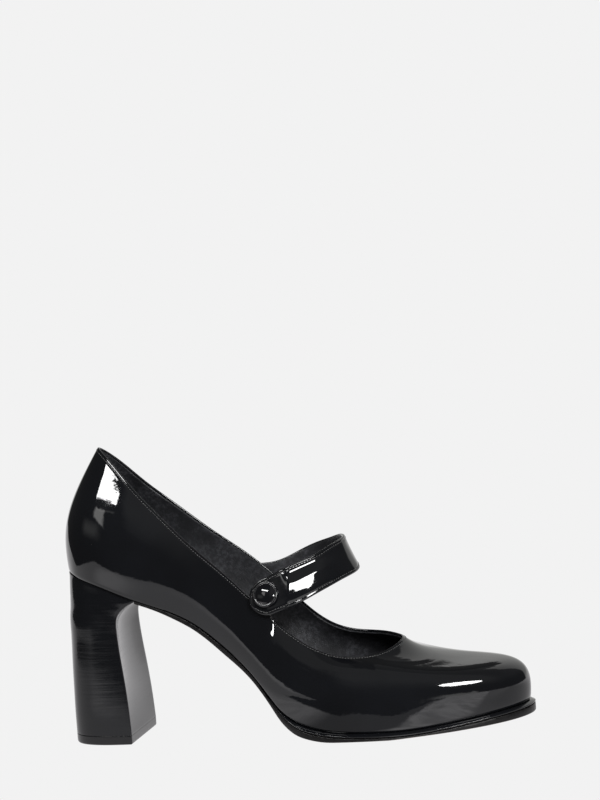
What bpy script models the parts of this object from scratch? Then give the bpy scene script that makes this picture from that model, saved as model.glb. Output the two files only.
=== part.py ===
"""Mary jane pump, right shoe: a lasted hollow upper on a welted sole with a block heel and an instep strap.

Frame: metres, +X to the toe, +Z up, -Y to the outer side. The origin is the middle of the heel's ground face.
Tables are in millimetres. Inner and outer mean the inner (+Y) and outer (-Y) side of the foot.
"""
import bpy
import bmesh
import math
import numpy as np

MM = 0.001

# Driving sizes, millimetres.
WALL = 1.8                 # upper leather with its lining
GAP = 0.3                  # clearance that neighbouring pieces keep
TOP_PIECE = 4.4            # wearing piece under the heel
WELT_LEDGE = 2.2           # the welt stands this far out from the upper
WELT_HEIGHT = 1.8
WELT_WIDTH = 5.5
WELT_FROM = 86.0           # the welt tapers in from here, over the next length
WELT_RUN = 18.0
WELT_THIN = 0.5
REBATE_RUN = 6.0           # the sole's rebate for the welt starts this far behind it
EDGE_INSET = -0.6          # behind the welt the sole's edge stays inside the upper
SOLE_SET_BACK = 0.2        # the sole's edge stands this far behind the welt's
EDGE_ROUND = 0.5           # the sole's lower edge is rounded up by this much
EDGE_TUCK = 0.8            # and in by this much
REBATE_LEAST = 0.05        # behind the welt the rebate is next to nothing
SOLE_BACK = 22.2           # the outsole starts here, at the heel's breast
INSOLE = 2.4
INSOLE_SIDE = 0.8          # share of the insole's thickness that is straight; the rest is rounded over
STRAP_THICK = 2.4
BALL_FLAT = (117.0, 144.0)  # the flat spot under the ball, from and to

# Underside of the sole along the foot: x, z.
SOLE_PROFILE = [
    (20, 68.7), (32, 64.1), (41, 59.5), (50, 54.0), (58, 47.5), (65, 41.1), (72, 34.8), (77, 29.6),
    (82, 23.2), (86, 17.3), (90, 11.2), (94, 6.9), (98, 4.1), (103, 2.1), (108, 0.9), (113, 0.2), (118, 0.0),
    (124, 0.0), (136, 0.0), (144, 0.0), (152, 0.5), (168, 1.6), (189, 3.3), (210, 5.0),
]

# Cross-section of the welt: how far out, and how far up as a share of its height. Its top slopes to the upper.
WELT_SECTION = [
    (-WELT_WIDTH, 0.0), (-0.3, 0.0), (0.0, 0.15), (0.0, 0.4), (-2.0, 1.0), (-WELT_WIDTH, 1.0),
]

# Feather line, where the upper's lower edge sits on the sole or heel: x, z.
FEATHER_PROFILE = [
    (-20, 84.9), (-15, 83.2), (-6, 80.5), (7, 76.2), (20, 70.8), (32, 66.2), (50, 57.2), (65, 44.8), (77, 32.9),
    (85, 22.9), (91, 15.4), (97, 10.6), (105, 7.2), (113, 5.4), (124, 4.3), (138, 3.9), (152, 4.1), (168, 5.6),
    (189, 8.5), (210, 11.4),
]

# The last, a row for each section round the foot, outer side then inner side.
# foot x, y: the feather line. wall x, y, z: the side at its fullest. top x, y, z: the topline.
LAST = [
    # section        foot x, y      wall x, y, z          top x, y, z
    ("heel_back",    -14.5, 0.0,    -15.4, 0.0, 107.9,     2.9, 0.0, 142.1),
    ("heel_corner_o", -9.4, -15.5,   -9.0, -17.8, 110.7,   10.2, -9.0, 137.6),
    ("heel_side_o",    3.8, -24.3,    5.6, -26.0, 105.4,   19.8, -15.5, 126.9),
    ("seat_o",        24.7, -26.5,   25.4, -28.0, 93.2,    34.1, -20.0, 112.1),
    ("waist_o",       48.6, -25.0,   48.8, -28.0, 75.9,    52.4, -23.2, 93.9),
    ("arch_o",        74.3, -27.6,   72.5, -30.0, 53.6,    71.8, -25.7, 76.4),
    ("shank_o",       94.1, -33.8,   91.3, -34.0, 37.4,    88.6, -27.2, 59.4),
    ("ball_back_o",  112.0, -37.8,  107.3, -37.5, 33.2,   105.4, -27.3, 45.7),
    ("ball_o",       134.0, -38.4,  128.3, -36.5, 32.9,   121.4, -25.2, 39.0),
    ("vamp_o",       158.0, -35.0,  152.3, -33.5, 33.6,   133.4, -20.6, 38.1),
    ("toe_side_o",   182.0, -27.8,  180.3, -28.6, 33.8,   141.9, -13.5, 39.9),
    ("toe_corner_o", 200.2, -15.5,  201.3, -15.0, 35.6,   145.9, -6.5, 42.1),
    ("toe_tip",      207.2, 3.0,    207.3, 3.0, 36.4,     147.2, 0.0, 43.3),
    ("toe_corner_i", 198.6, 20.0,   199.4, 18.5, 36.5,    145.8, 6.5, 43.4),
    ("toe_side_i",   182.1, 31.0,   180.4, 29.5, 34.3,    141.5, 13.5, 43.5),
    ("vamp_i",       158.1, 36.5,   152.4, 34.5, 35.2,    133.0, 20.8, 43.9),
    ("ball_i",       134.1, 38.0,   128.4, 37.0, 36.5,    121.0, 25.8, 44.3),
    ("ball_back_i",  112.1, 34.5,   107.5, 37.0, 37.8,    105.6, 28.0, 49.0),
    ("shank_i",       94.1, 28.5,    91.5, 33.5, 43.9,     90.7, 28.4, 61.9),
    ("arch_i",        74.4, 23.5,    72.7, 29.5, 60.1,     72.4, 26.2, 80.5),
    ("waist_i",       48.6, 23.5,    48.9, 27.5, 79.4,     52.1, 24.0, 96.3),
    ("seat_i",        24.7, 26.0,    25.6, 28.0, 95.6,     32.7, 21.0, 112.9),
    ("heel_side_i",    3.8, 24.3,     5.7, 26.0, 106.9,    19.3, 16.0, 125.0),
    ("heel_corner_i", -9.5, 15.5,    -9.1, 17.8, 111.0,    10.4, 9.0, 135.9),
]

# Shape of the wall between the table's lines.
FOOT_SPRING = 1.0          # the wall swells this far out just over the sole
FOOT_SHARE = 0.42          # height of that swelling, as a share of the wall line's height
COUNTER_ROUND = 1.2        # the quarters round outwards this far between wall line and topline
COUNTER_TO = 60.0          # this fades out towards this place along the foot
COUNTER_FADE = 30.0        # over this length
CROWN_SHARE = 0.52         # place of the crown line between wall line and topline
VAMP_SHARE = 0.76          # and its place along the middle of the vamp, nearer to the throat
VAMP_HOLLOW = 0.30         # how far the vamp dips there, for each millimetre past the next length
HOLLOW_FROM = 18.0         # stretches from wall line to topline shorter than this stay straight
VAMP_LENGTH = 60.0         # the longest of these stretches, toe box to throat

# A low ear of the outer quarter rises behind the strap's tab and takes the button's thread.
EAR_ROOT = (84.2, -26.9, 64.9)
EAR_REACH = (3.4, -1.1, 3.2)
EAR_HALF_WIDTH = 8.8

LOOP_POINTS = 48           # control points of each fair line round the foot
LOOP_STIFFNESS = 2e-5      # how strongly such a line resists changes of bend
LENGTH_STEPS = 52          # sections along the foot, closer together at heel, toe and bend
END_CROWDING = 1.5         # how much closer at the two ends
END_REACH = 8.0            # and over what length there
BEND_CROWDING = 1.6        # the same for the bend between arch and ball
BEND_REACH = 13.0
BEND_AT = 92.0             # middle of that bend
FINE_STEPS = 4001          # steps in which lines round the foot are measured
LEAST_STEP = 2.0           # the section after the first one is at least this far from it
UPPER_ROWS = 14
STRAP_ROWS = 52
TAB_ROWS = 10
TAB_TIP = 0.05             # the tab's round end closes on this share of its width
BUTTON_SIDES = 28
SHARP_ANGLE = 40.0         # edges sharper than this are shaded as edges

# Block heel, a row for each level: height at the breast, breast x, back x, half width, roundness, hollow.
HEEL = [
    (4.7, 16.4, -15.3, 26.3, 2.9, 0.0),
    (12.3, 16.0, -15.4, 26.0, 2.9, 0.6),
    (24.3, 15.1, -15.4, 25.4, 2.8, 1.2),
    (36.4, 13.8, -15.3, 24.8, 2.7, 1.6),
    (48.4, 12.5, -15.1, 24.3, 2.6, 1.8),
    (54.4, 12.1, -15.0, 24.1, 2.6, 1.9),
    (58.9, 12.1, -14.6, 24.1, 2.5, 1.8),
    (61.9, 12.8, -14.4, 24.1, 2.5, 1.5),
    (64.4, 14.6, -14.3, 24.2, 2.5, 1.1),
    (66.5, 17.3, -14.2, 24.3, 2.5, 0.6),
    (68.0, 20.0, -14.1, 24.4, 2.5, 0.2),
    (68.6, 21.6, -14.1, 24.4, 2.5, 0.0),
    (70.5, 21.7, -14.1, 24.4, 2.5, 0.0),
]

HEEL_CORNER = 1.4          # rounding of the two corners at the breast
HEEL_SIDE_STEPS = 19
TOP_PIECE_BEVEL = 0.4      # the top piece is drawn in by this much at the ground
TOP_PIECE_BEVEL_HEIGHT = 0.5

# Instep strap, a row for each place along its line: x, y, z, its reach above and below that line, and its tilt,
# the degrees that its lower edge is turned outwards from upright.
STRAP = [
    # place           x      y      z     above  below  tilt
    ("inner_end",    75.9,  30.05, 65.2,  14.0,  2.0,   8.0),
    ("inner_base",   84.9,  30.2,  69.1,  10.5,  7.6,   8.0),
    ("inner_root",   92.3,  30.5,  72.7,   9.4,  9.2,   9.0),
    ("inner_leg",    99.9,  29.8,  76.6,   9.0,  9.0,  11.0),
    ("inner_rise",  107.4,  27.0,  79.9,   8.7,  8.7,  14.0),
    ("inner_bend",  113.5,  22.5,  82.4,   8.3,  8.3,  17.0),
    ("inner_turn",  119.1,  15.0,  84.8,   8.1,  8.1,  20.0),
    ("front",       123.3,   0.0,  85.4,   7.9,  9.6,  23.5),
    ("outer_turn",  119.2, -15.0,  83.0,   8.2,  9.1,  21.5),
    ("outer_bend",  114.1, -22.5,  80.4,   8.2,  8.7,  19.0),
    ("outer_rise",  108.0, -27.0,  77.7,   8.7,  8.8,  17.0),
    ("outer_leg",   100.9, -29.1,  74.5,   9.1,  9.1,  16.0),
    ("outer_root",   94.1, -29.6,  71.7,   9.1,  9.1,  15.0),
    ("tab",          88.0, -29.6,  69.3,   8.8,  8.8,  15.0),
    ("tab_end",      80.3, -29.6,  65.6,   8.7,  8.7,  15.0),
]

# Covered button, turned round its own middle: radius, height over the strap.
BUTTON_AT = (88.1, -29.6, 70.4)
BUTTON = [(5.7, 0.0), (6.35, 0.5), (6.35, 1.2), (5.9, 1.7), (5.3, 1.6), (4.8, 1.7), (3.4, 2.1), (1.7, 2.3)]


def natural_spline(knots, values, wanted):
    """Cubic through the knots with no bend at its ends."""
    knots = np.asarray(knots, float)
    values = np.asarray(values, float).reshape(len(knots), -1)
    step = np.diff(knots)
    count = len(knots)
    system = np.eye(count)
    right = np.zeros_like(values)
    for i in range(1, count - 1):
        system[i, i - 1:i + 2] = step[i - 1], 2.0 * (step[i - 1] + step[i]), step[i]
        rise = (values[i + 1] - values[i]) / step[i] - (values[i] - values[i - 1]) / step[i - 1]
        right[i] = 6.0 * rise
    bend = np.linalg.solve(system, right)
    wanted = np.atleast_1d(np.asarray(wanted, float))
    i = np.clip(np.searchsorted(knots, wanted) - 1, 0, count - 2)
    width = step[i][:, None]
    b = ((wanted - knots[i])[:, None]) / width
    a = 1.0 - b
    curve = a * values[i] + b * values[i + 1]
    return curve + ((a**3 - a) * bend[i] + (b**3 - b) * bend[i + 1]) * width**2 / 6.0


def along(table, x):
    """Height read from a table of x, z at one or many places."""
    table = np.array(table, float)
    return natural_spline(table[:, 0], table[:, 1], x)[:, 0]


def feather_height(x, below=0.0):
    """Height of the feather line, less a thickness measured square to its slope."""
    x = np.asarray(x, float)
    slope = (along(FEATHER_PROFILE, x + 0.5) - along(FEATHER_PROFILE, x - 0.5))
    return along(FEATHER_PROFILE, x) - below * np.sqrt(1.0 + slope**2)


def ground_height(x):
    """Height of the sole's underside, flat under the ball of the foot."""
    x = np.asarray(x, float)
    flat = (x > BALL_FLAT[0]) & (x < BALL_FLAT[1])
    return np.where(flat, 0.0, np.maximum(0.0, along(SOLE_PROFILE, x)))


def uniform_basis(t, count):
    """Weights of the closed uniform cubic B-spline's points at t in 0..1."""
    place = np.asarray(t) % 1.0 * count
    cell = np.floor(place).astype(int)
    f = place - cell
    weights = np.zeros((len(cell), count))
    parts = [(1 - f)**3, 3 * f**3 - 6 * f**2 + 4, -3 * f**3 + 3 * f**2 + 3 * f + 1, f**3]
    rows = np.arange(len(cell))
    for offset, part in enumerate(parts):
        weights[rows, (cell + offset) % count] += part / 6.0
    return weights


def fair_loop(t, points, wanted):
    """Closed curve near the points with evenly changing bend, read at the wanted places."""
    base = uniform_basis(t, LOOP_POINTS)
    third = np.zeros((LOOP_POINTS, LOOP_POINTS))
    for i in range(LOOP_POINTS):
        for offset, weight in enumerate((-1.0, 3.0, -3.0, 1.0)):
            third[i, (i + offset) % LOOP_POINTS] += weight
    penalty = LOOP_STIFFNESS * LOOP_POINTS**2 * third.T @ third
    control = np.linalg.solve(base.T @ base + penalty + 1e-9 * np.eye(LOOP_POINTS), base.T @ points)
    return uniform_basis(wanted, LOOP_POINTS) @ control


def clamped_basis(v, count):
    """Weights of a clamped cubic B-spline's points at v in 0..1."""
    v = np.clip(np.asarray(v, float), 0.0, 1.0 - 1e-9)
    knots = np.concatenate([np.zeros(3), np.linspace(0.0, 1.0, count - 2), np.ones(3)])
    table = [((v >= knots[i]) & (v < knots[i + 1])).astype(float) for i in range(len(knots) - 1)]
    for degree in (1, 2, 3):
        raised = []
        for i in range(len(knots) - 1 - degree):
            total = np.zeros_like(v)
            left = knots[i + degree] - knots[i]
            right = knots[i + degree + 1] - knots[i + 1]
            if left > 0:
                total = total + (v - knots[i]) / left * table[i]
            if right > 0:
                total = total + (knots[i + degree + 1] - v) / right * table[i + 1]
            raised.append(total)
        table = raised
    return np.array(table).T


def table_lines():
    """The table's three lines round the foot and the place of each of its rows."""
    numbers = np.array([row[1:] for row in LAST])
    lines = (numbers[:, 0:2], numbers[:, 2:5], numbers[:, 5:8])
    stride = sum(np.linalg.norm(np.roll(line, -1, 0) - line, axis=1) for line in lines)
    return np.concatenate([[0.0], np.cumsum(stride)[:-1]]) / stride.sum(), lines


def foot_plan(wanted):
    """Plan of the feather line and its unit normals, pointing out, at the wanted places."""
    t, lines = table_lines()
    wanted = np.asarray(wanted, float)
    ahead = fair_loop(t, lines[0], wanted + 0.002)
    behind = fair_loop(t, lines[0], wanted - 0.002)
    normal = np.column_stack([(ahead - behind)[:, 1], (behind - ahead)[:, 0]])
    return fair_loop(t, lines[0], wanted), normal / np.linalg.norm(normal, axis=1)[:, None]


def last_lines(wanted):
    """The five lines that shape the upper, from feather line to topline, at the wanted places."""
    t, lines = table_lines()
    foot, outward = foot_plan(wanted)
    wall = fair_loop(t, lines[1], wanted)
    top = fair_loop(t, lines[2], wanted)
    feather = np.column_stack([foot, feather_height(foot[:, 0])])
    swell = feather + FOOT_SHARE * (wall - feather)
    swell[:, :2] += FOOT_SPRING * outward
    past = np.maximum(0.0, np.linalg.norm((top - wall)[:, :2], axis=1) - HOLLOW_FROM)
    share = CROWN_SHARE + (VAMP_SHARE - CROWN_SHARE) * past / (VAMP_LENGTH - HOLLOW_FROM)
    crown = wall + share[:, None] * (top - wall)
    crown[:, 2] -= VAMP_HOLLOW * past
    crown[:, :2] += COUNTER_ROUND * np.clip((COUNTER_TO - foot[:, :1]) / COUNTER_FADE, 0.0, 1.0) * outward
    from_ear = np.linalg.norm(top - np.array(EAR_ROOT), axis=1) / EAR_HALF_WIDTH
    top = top + np.outer(np.maximum(0.0, 1.0 - from_ear**2)**2, EAR_REACH)
    return np.array([feather, swell, wall, crown, top])


def upper_surface(wanted, rows):
    """Outer face of the upper: an array of rows, each a closed loop of points."""
    lines = last_lines(wanted)
    return np.einsum("rk,kcx->rcx", clamped_basis(np.linspace(0.0, 1.0, rows), len(lines)), lines)


def surface_normals(grid):
    """Normals of a grid of closed loops, pointing out."""
    around = np.roll(grid, -1, 1) - np.roll(grid, 1, 1)
    up = np.gradient(grid, axis=0)
    normal = np.cross(around, up)
    return normal / np.linalg.norm(normal, axis=2)[:, :, None]


def foot_line(wanted, offset):
    """The feather line in plan, moved out by the offset at each place."""
    foot, outward = foot_plan(wanted)
    return foot + outward * np.reshape(offset, (-1, 1))


def finish(name, vertices, faces, colour, roughness):
    """One closed object with its own material, faces out."""
    mesh = bpy.data.meshes.new(name)
    mesh.from_pydata([tuple(p) for p in np.asarray(vertices) * MM], [], faces)
    body = bmesh.new()
    body.from_mesh(mesh)
    bmesh.ops.recalc_face_normals(body, faces=body.faces)
    body.to_mesh(mesh)
    body.free()
    mesh.shade_smooth()
    mesh.set_sharp_from_angle(angle=math.radians(SHARP_ANGLE))
    thing = bpy.data.objects.new(name, mesh)
    bpy.context.scene.collection.objects.link(thing)
    material = bpy.data.materials.new(name + "_finish")
    material.use_nodes = True
    shader = material.node_tree.nodes["Principled BSDF"]
    shader.inputs["Base Color"].default_value = (*colour, 1.0)
    shader.inputs["Roughness"].default_value = roughness
    shader.inputs["Metallic"].default_value = 0.0
    mesh.materials.append(material)
    return thing


def ring_faces(rings, size):
    """Quads between neighbouring rings of the same size."""
    faces = []
    for r in range(rings - 1):
        for i in range(size):
            j = (i + 1) % size
            faces.append((r * size + i, r * size + j, (r + 1) * size + j, (r + 1) * size + i))
    return faces


def cap_faces(start, size):
    """Strips across a ring whose first and last points face each other."""
    faces = []
    for i in range(size // 2 - 1):
        faces.append((start + i, start + i + 1, start + size - 2 - i, start + size - 1 - i))
    if size % 2:
        middle = start + size // 2
        faces.append((middle - 1, middle, middle + 1))
    return faces


def stacked_body(name, rings, colour, roughness):
    """A closed body from rings that run from its underside to its top."""
    size = len(rings[0])
    faces = ring_faces(len(rings), size) + cap_faces(0, size) + cap_faces((len(rings) - 1) * size, size)
    return finish(name, np.concatenate(rings), faces, colour, roughness)


def places_round(start_x=None):
    """Places round the foot, in pairs that face each other: outer side, toe tip, inner side.

    Without a start they go right round, and begin at the back of the heel.
    """
    fine = np.linspace(0.0, 1.0, FINE_STEPS)
    x = foot_plan(fine)[0][:, 0]
    tip = np.argmax(x)
    reach = np.linspace(x.min(), x.max(), FINE_STEPS)
    ends = np.exp((x.min() - reach) / END_REACH) + np.exp((reach - x.max()) / END_REACH)
    crowding = 1.0 + END_CROWDING * ends + BEND_CROWDING * np.exp(-((reach - BEND_AT) / BEND_REACH)**2)
    share = np.cumsum(crowding) / crowding.sum()
    stations = np.interp(np.arange(1, LENGTH_STEPS) / LENGTH_STEPS, share, reach)
    if start_x is not None:
        stations = np.concatenate([[start_x], stations[stations > start_x + LEAST_STEP]])
    rising = np.maximum.accumulate(x[:tip])
    falling = np.maximum.accumulate(x[:tip:-1])
    outer = np.interp(stations, rising, fine[:tip])
    inner = np.interp(stations, falling, fine[:tip:-1])
    heel = [0.0] if start_x is None else []
    return np.concatenate([heel, outer, [fine[tip]], inner[::-1]])


def make_upper():
    wanted = places_round()
    outside = upper_surface(wanted, UPPER_ROWS)
    inside = outside - WALL * surface_normals(outside)
    inside[0, :, 2] = outside[0, :, 2]
    rings = list(outside) + list(inside[::-1])
    size = len(wanted)
    faces = ring_faces(len(rings), size)
    last = (len(rings) - 1) * size
    faces += [(last + i, last + (i + 1) % size, (i + 1) % size, i) for i in range(size)]
    finish("upper", np.concatenate(rings), faces, (0.012, 0.013, 0.016), 0.08)


def ledge(x):
    """How far the sole's edge stands out from the upper."""
    share = np.clip((x - WELT_FROM) / WELT_RUN, 0.0, 1.0)
    return EDGE_INSET + (WELT_LEDGE - EDGE_INSET) * share**2 * (3.0 - 2.0 * share)


def welt_height(x):
    """Thickness of the welt, which tapers out at the arch."""
    share = np.clip((x - WELT_FROM) / WELT_RUN, 0.0, 1.0)
    return WELT_THIN + (WELT_HEIGHT - WELT_THIN) * share**2 * (3.0 - 2.0 * share)


def rebate(x):
    """Depth of the step in the sole's edge that takes the welt; behind the welt it is next to nothing."""
    share = np.clip((x - WELT_FROM) / REBATE_RUN + 1.0, 0.0, 1.0)
    return REBATE_LEAST + share * (GAP + welt_height(x) - REBATE_LEAST)


def level(ring, z):
    """A ring in plan raised to its heights."""
    return np.column_stack([ring, z])


def make_outsole():
    places = places_round(SOLE_BACK)
    stand = ledge(foot_line(places, 0.0)[:, 0])
    edge = foot_line(places, stand - SOLE_SET_BACK)
    under = foot_line(places, stand - SOLE_SET_BACK - EDGE_TUCK)
    seat = foot_line(places, stand - WELT_WIDTH - GAP)
    rings = [
        level(under, ground_height(under[:, 0])),
        level(edge, ground_height(edge[:, 0]) + EDGE_ROUND),
        level(edge, feather_height(edge[:, 0], GAP + rebate(edge[:, 0]))),
        level(seat, feather_height(seat[:, 0], GAP + rebate(seat[:, 0]))),
        level(seat, feather_height(seat[:, 0], GAP)),
    ]
    stacked_body("outsole", rings, (0.02, 0.018, 0.016), 0.45)


def make_welt():
    places = places_round(SOLE_BACK)
    places = places[foot_line(places, 0.0)[:, 0] > WELT_FROM]
    stand = ledge(foot_line(places, 0.0)[:, 0])
    columns = []
    for out, up in WELT_SECTION:
        line = foot_line(places, stand + out)
        x = line[:, 0]
        columns.append(level(line, feather_height(x, GAP + (1.0 - up) * welt_height(x))))
    rings = np.array(columns).transpose(1, 0, 2)
    size = len(WELT_SECTION)
    faces = ring_faces(len(rings), size)
    faces += [tuple(range(size)), tuple(range(len(rings) * size - size, len(rings) * size))]
    finish("welt", rings.reshape(-1, 3), faces, (0.014, 0.014, 0.016), 0.15)


def make_insole():
    places = np.roll(places_round(), -1)
    low = foot_line(places, -WALL - 2.0 * GAP)
    high = foot_line(places, -WALL - 4.0 * GAP)
    rings = [
        level(low, feather_height(low[:, 0])),
        level(low, feather_height(low[:, 0], -INSOLE_SIDE * INSOLE)),
        level(high, feather_height(high[:, 0], -INSOLE)),
    ]
    stacked_body("insole", rings, (0.02, 0.02, 0.02), 0.7)


def heel_ring(breast, back, half, roundness, hollow):
    """Plan of the block heel at one level, from the back round the outer side, breast and inner side."""
    angles = np.linspace(0.0, math.pi / 2.0, HEEL_SIDE_STEPS)[1:-1]
    depth = breast - HEEL_CORNER - back
    side_x = breast - HEEL_CORNER - depth * np.cos(angles)**(2.0 / roundness)
    side_y = half * np.sin(angles)**(2.0 / roundness)
    chamfer = (1.0 - math.sqrt(0.5)) * HEEL_CORNER
    front_y = np.array([half - chamfer, half - HEEL_CORNER, half * 2.0 / 3.0, half / 3.0])
    front_x = np.array([breast - chamfer, breast, breast, breast])
    front_x[1:] -= hollow * (1.0 - (front_y[1:] / (half - HEEL_CORNER))**2)
    xs = np.concatenate([side_x, front_x])
    ys = np.concatenate([side_y, front_y])
    outer = np.column_stack([xs, -ys])
    inner = np.column_stack([xs, ys])[::-1]
    middle = np.array([[breast - hollow, 0.0]])
    return np.concatenate([outer, middle, inner])


def make_heel():
    base = HEEL[0][0]
    rings = []
    for height, breast, back, half, roundness, hollow in HEEL:
        ring = heel_ring(breast, back, half, roundness, hollow)
        share = min(1.0, (height - base) / (feather_height(np.array([breast]), GAP)[0] - base))
        top = feather_height(ring[:, 0], GAP)
        rings.append(level(ring, base + share * (top - base)))
    stacked_body("heel", rings, (0.014, 0.014, 0.017), 0.2)
    plan = heel_ring(*HEEL[0][1:])
    _, breast, back, half, roundness, hollow = HEEL[0]
    small = heel_ring(breast - TOP_PIECE_BEVEL, back + TOP_PIECE_BEVEL, half - TOP_PIECE_BEVEL, roundness, hollow)
    rings = [level(small, np.zeros(len(small))), level(plan, np.full(len(plan), TOP_PIECE_BEVEL_HEIGHT)),
             level(plan, np.full(len(plan), TOP_PIECE))]
    stacked_body("heel_top_piece", rings, (0.02, 0.02, 0.02), 0.4)


def strap_frame(count=STRAP_ROWS):
    """Line of the strap with its width and thickness directions, and its reach above and below the line."""
    numbers = np.array([row[1:] for row in STRAP])
    stride = np.linalg.norm(np.diff(numbers[:, :3], axis=0), axis=1)
    place = np.concatenate([[0.0], np.cumsum(stride)])
    radius = numbers[-1, 3]
    straight = place[-1] - radius
    turn = np.sin(np.linspace(0.0, math.pi / 2.0, TAB_ROWS + 1)[1:])
    reach = np.concatenate([np.linspace(0.0, straight, count), straight + radius * turn])
    curve = natural_spline(place, numbers, reach)
    middle = curve[:, :3]
    tangent = np.gradient(middle, reach, axis=0)
    tangent /= np.linalg.norm(tangent, axis=1)[:, None]
    tilt = np.radians(curve[:, 5:])
    side = np.cross((0.0, 0.0, 1.0), tangent)
    side /= np.linalg.norm(side, axis=1)[:, None]
    across = np.cos(tilt) * np.cross(side, tangent) + np.sin(tilt) * side
    outward = np.cross(tangent, across)
    past = np.clip((reach - straight) / radius, 0.0, 1.0)
    round_end = np.maximum(np.sqrt(1.0 - past**2), TAB_TIP)
    return middle, across, outward, curve[:, 3:5] * round_end[:, None]


def make_strap():
    middle, across, outward, width = strap_frame()
    thick = STRAP_THICK / 2.0
    rings = []
    for i in range(len(middle)):
        above, below = width[i]
        section = [(-above, -1.0), (0.0, -1.0), (below, -1.0), (below, 1.0), (0.0, 1.0), (-above, 1.0)]
        rings.append([middle[i] + w * across[i] + t * thick * outward[i] for w, t in section])
    size = len(rings[0])
    faces = ring_faces(len(rings), size)
    faces += [tuple(range(size)), tuple(range(len(rings) * size - size, len(rings) * size))]
    finish("strap", np.array(rings).reshape(-1, 3), faces, (0.012, 0.013, 0.016), 0.08)


def make_button():
    middle, across, outward, _ = strap_frame()
    nearest = np.argmin(np.linalg.norm(middle - np.array(BUTTON_AT), axis=1))
    normal = outward[nearest]
    down = across[nearest]
    sideways = np.cross(normal, down)
    offset = np.array(BUTTON_AT) - middle[nearest]
    centre = np.array(BUTTON_AT) + normal * (STRAP_THICK / 2.0 + GAP - offset @ normal)
    angles = np.arange(BUTTON_SIDES) * 2.0 * math.pi / BUTTON_SIDES
    rings = []
    for radius, height in BUTTON:
        spokes = np.outer(np.cos(angles), down) + np.outer(np.sin(angles), sideways)
        rings.append(centre + height * normal + radius * spokes)
    stacked_body("button", rings, (0.012, 0.013, 0.016), 0.08)


for old in list(bpy.data.objects):
    bpy.data.objects.remove(old, do_unlink=True)

make_upper()
make_outsole()
make_welt()
make_insole()
make_heel()
make_strap()
make_button()
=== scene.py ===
"""Mary jane pump, right shoe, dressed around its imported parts.

Tables are in millimetres and Blender's own units are metres. +X runs to the toe, +Z up, -Y to the outer side of
the foot, and the origin is the middle of the heel's ground face. Inner and outer mean the sides of the foot.
"""

import math

import bmesh
import bpy
import numpy as np
from mathutils import Matrix, Vector


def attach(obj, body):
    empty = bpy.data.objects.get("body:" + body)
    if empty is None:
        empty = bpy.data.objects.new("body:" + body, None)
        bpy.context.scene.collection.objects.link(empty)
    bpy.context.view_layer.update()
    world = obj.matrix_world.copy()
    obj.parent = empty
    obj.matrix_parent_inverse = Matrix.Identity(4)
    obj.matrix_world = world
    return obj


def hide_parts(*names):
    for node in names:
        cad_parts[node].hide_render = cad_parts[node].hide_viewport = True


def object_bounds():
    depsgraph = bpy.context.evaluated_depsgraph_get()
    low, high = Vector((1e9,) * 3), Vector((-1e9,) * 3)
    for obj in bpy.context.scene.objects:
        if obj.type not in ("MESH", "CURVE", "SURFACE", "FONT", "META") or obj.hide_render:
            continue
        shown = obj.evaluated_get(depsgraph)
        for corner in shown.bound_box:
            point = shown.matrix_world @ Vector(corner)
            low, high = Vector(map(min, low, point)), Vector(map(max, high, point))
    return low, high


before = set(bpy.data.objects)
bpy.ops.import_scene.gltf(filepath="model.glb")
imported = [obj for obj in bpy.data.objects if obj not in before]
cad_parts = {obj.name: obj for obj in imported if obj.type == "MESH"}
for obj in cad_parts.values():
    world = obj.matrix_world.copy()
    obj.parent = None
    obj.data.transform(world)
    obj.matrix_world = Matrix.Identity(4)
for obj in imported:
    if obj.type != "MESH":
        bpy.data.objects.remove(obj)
cad_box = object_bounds()


# -----------------------------------------------------------------------------
# Upper
# One piece of black patent leather, wet-lasted over the foot's form and cemented under it. Its top edge is
# folded in and sewn down, and its lower edge rolls in to the seat, so that a dark groove shows over the welt.
# -----------------------------------------------------------------------------
MM = 0.001
WALL = 1.8                 # upper leather with its lining
PATENT = 1.0               # the patent leather alone
GAP = 0.3                  # clearance that neighbouring pieces keep

# Feather line, where the upper's lower edge sits on the sole or heel: x, z.
FEATHER_PROFILE = [
    (-20, 84.9), (-15, 83.2), (-6, 80.5), (7, 76.2), (20, 70.8), (32, 66.2), (50, 57.2), (65, 44.8), (77, 32.9),
    (85, 22.9), (91, 15.4), (97, 10.6), (105, 7.2), (113, 5.4), (124, 4.3), (138, 3.9), (152, 4.1), (168, 5.6),
    (189, 8.5), (210, 11.4),
]

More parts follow.
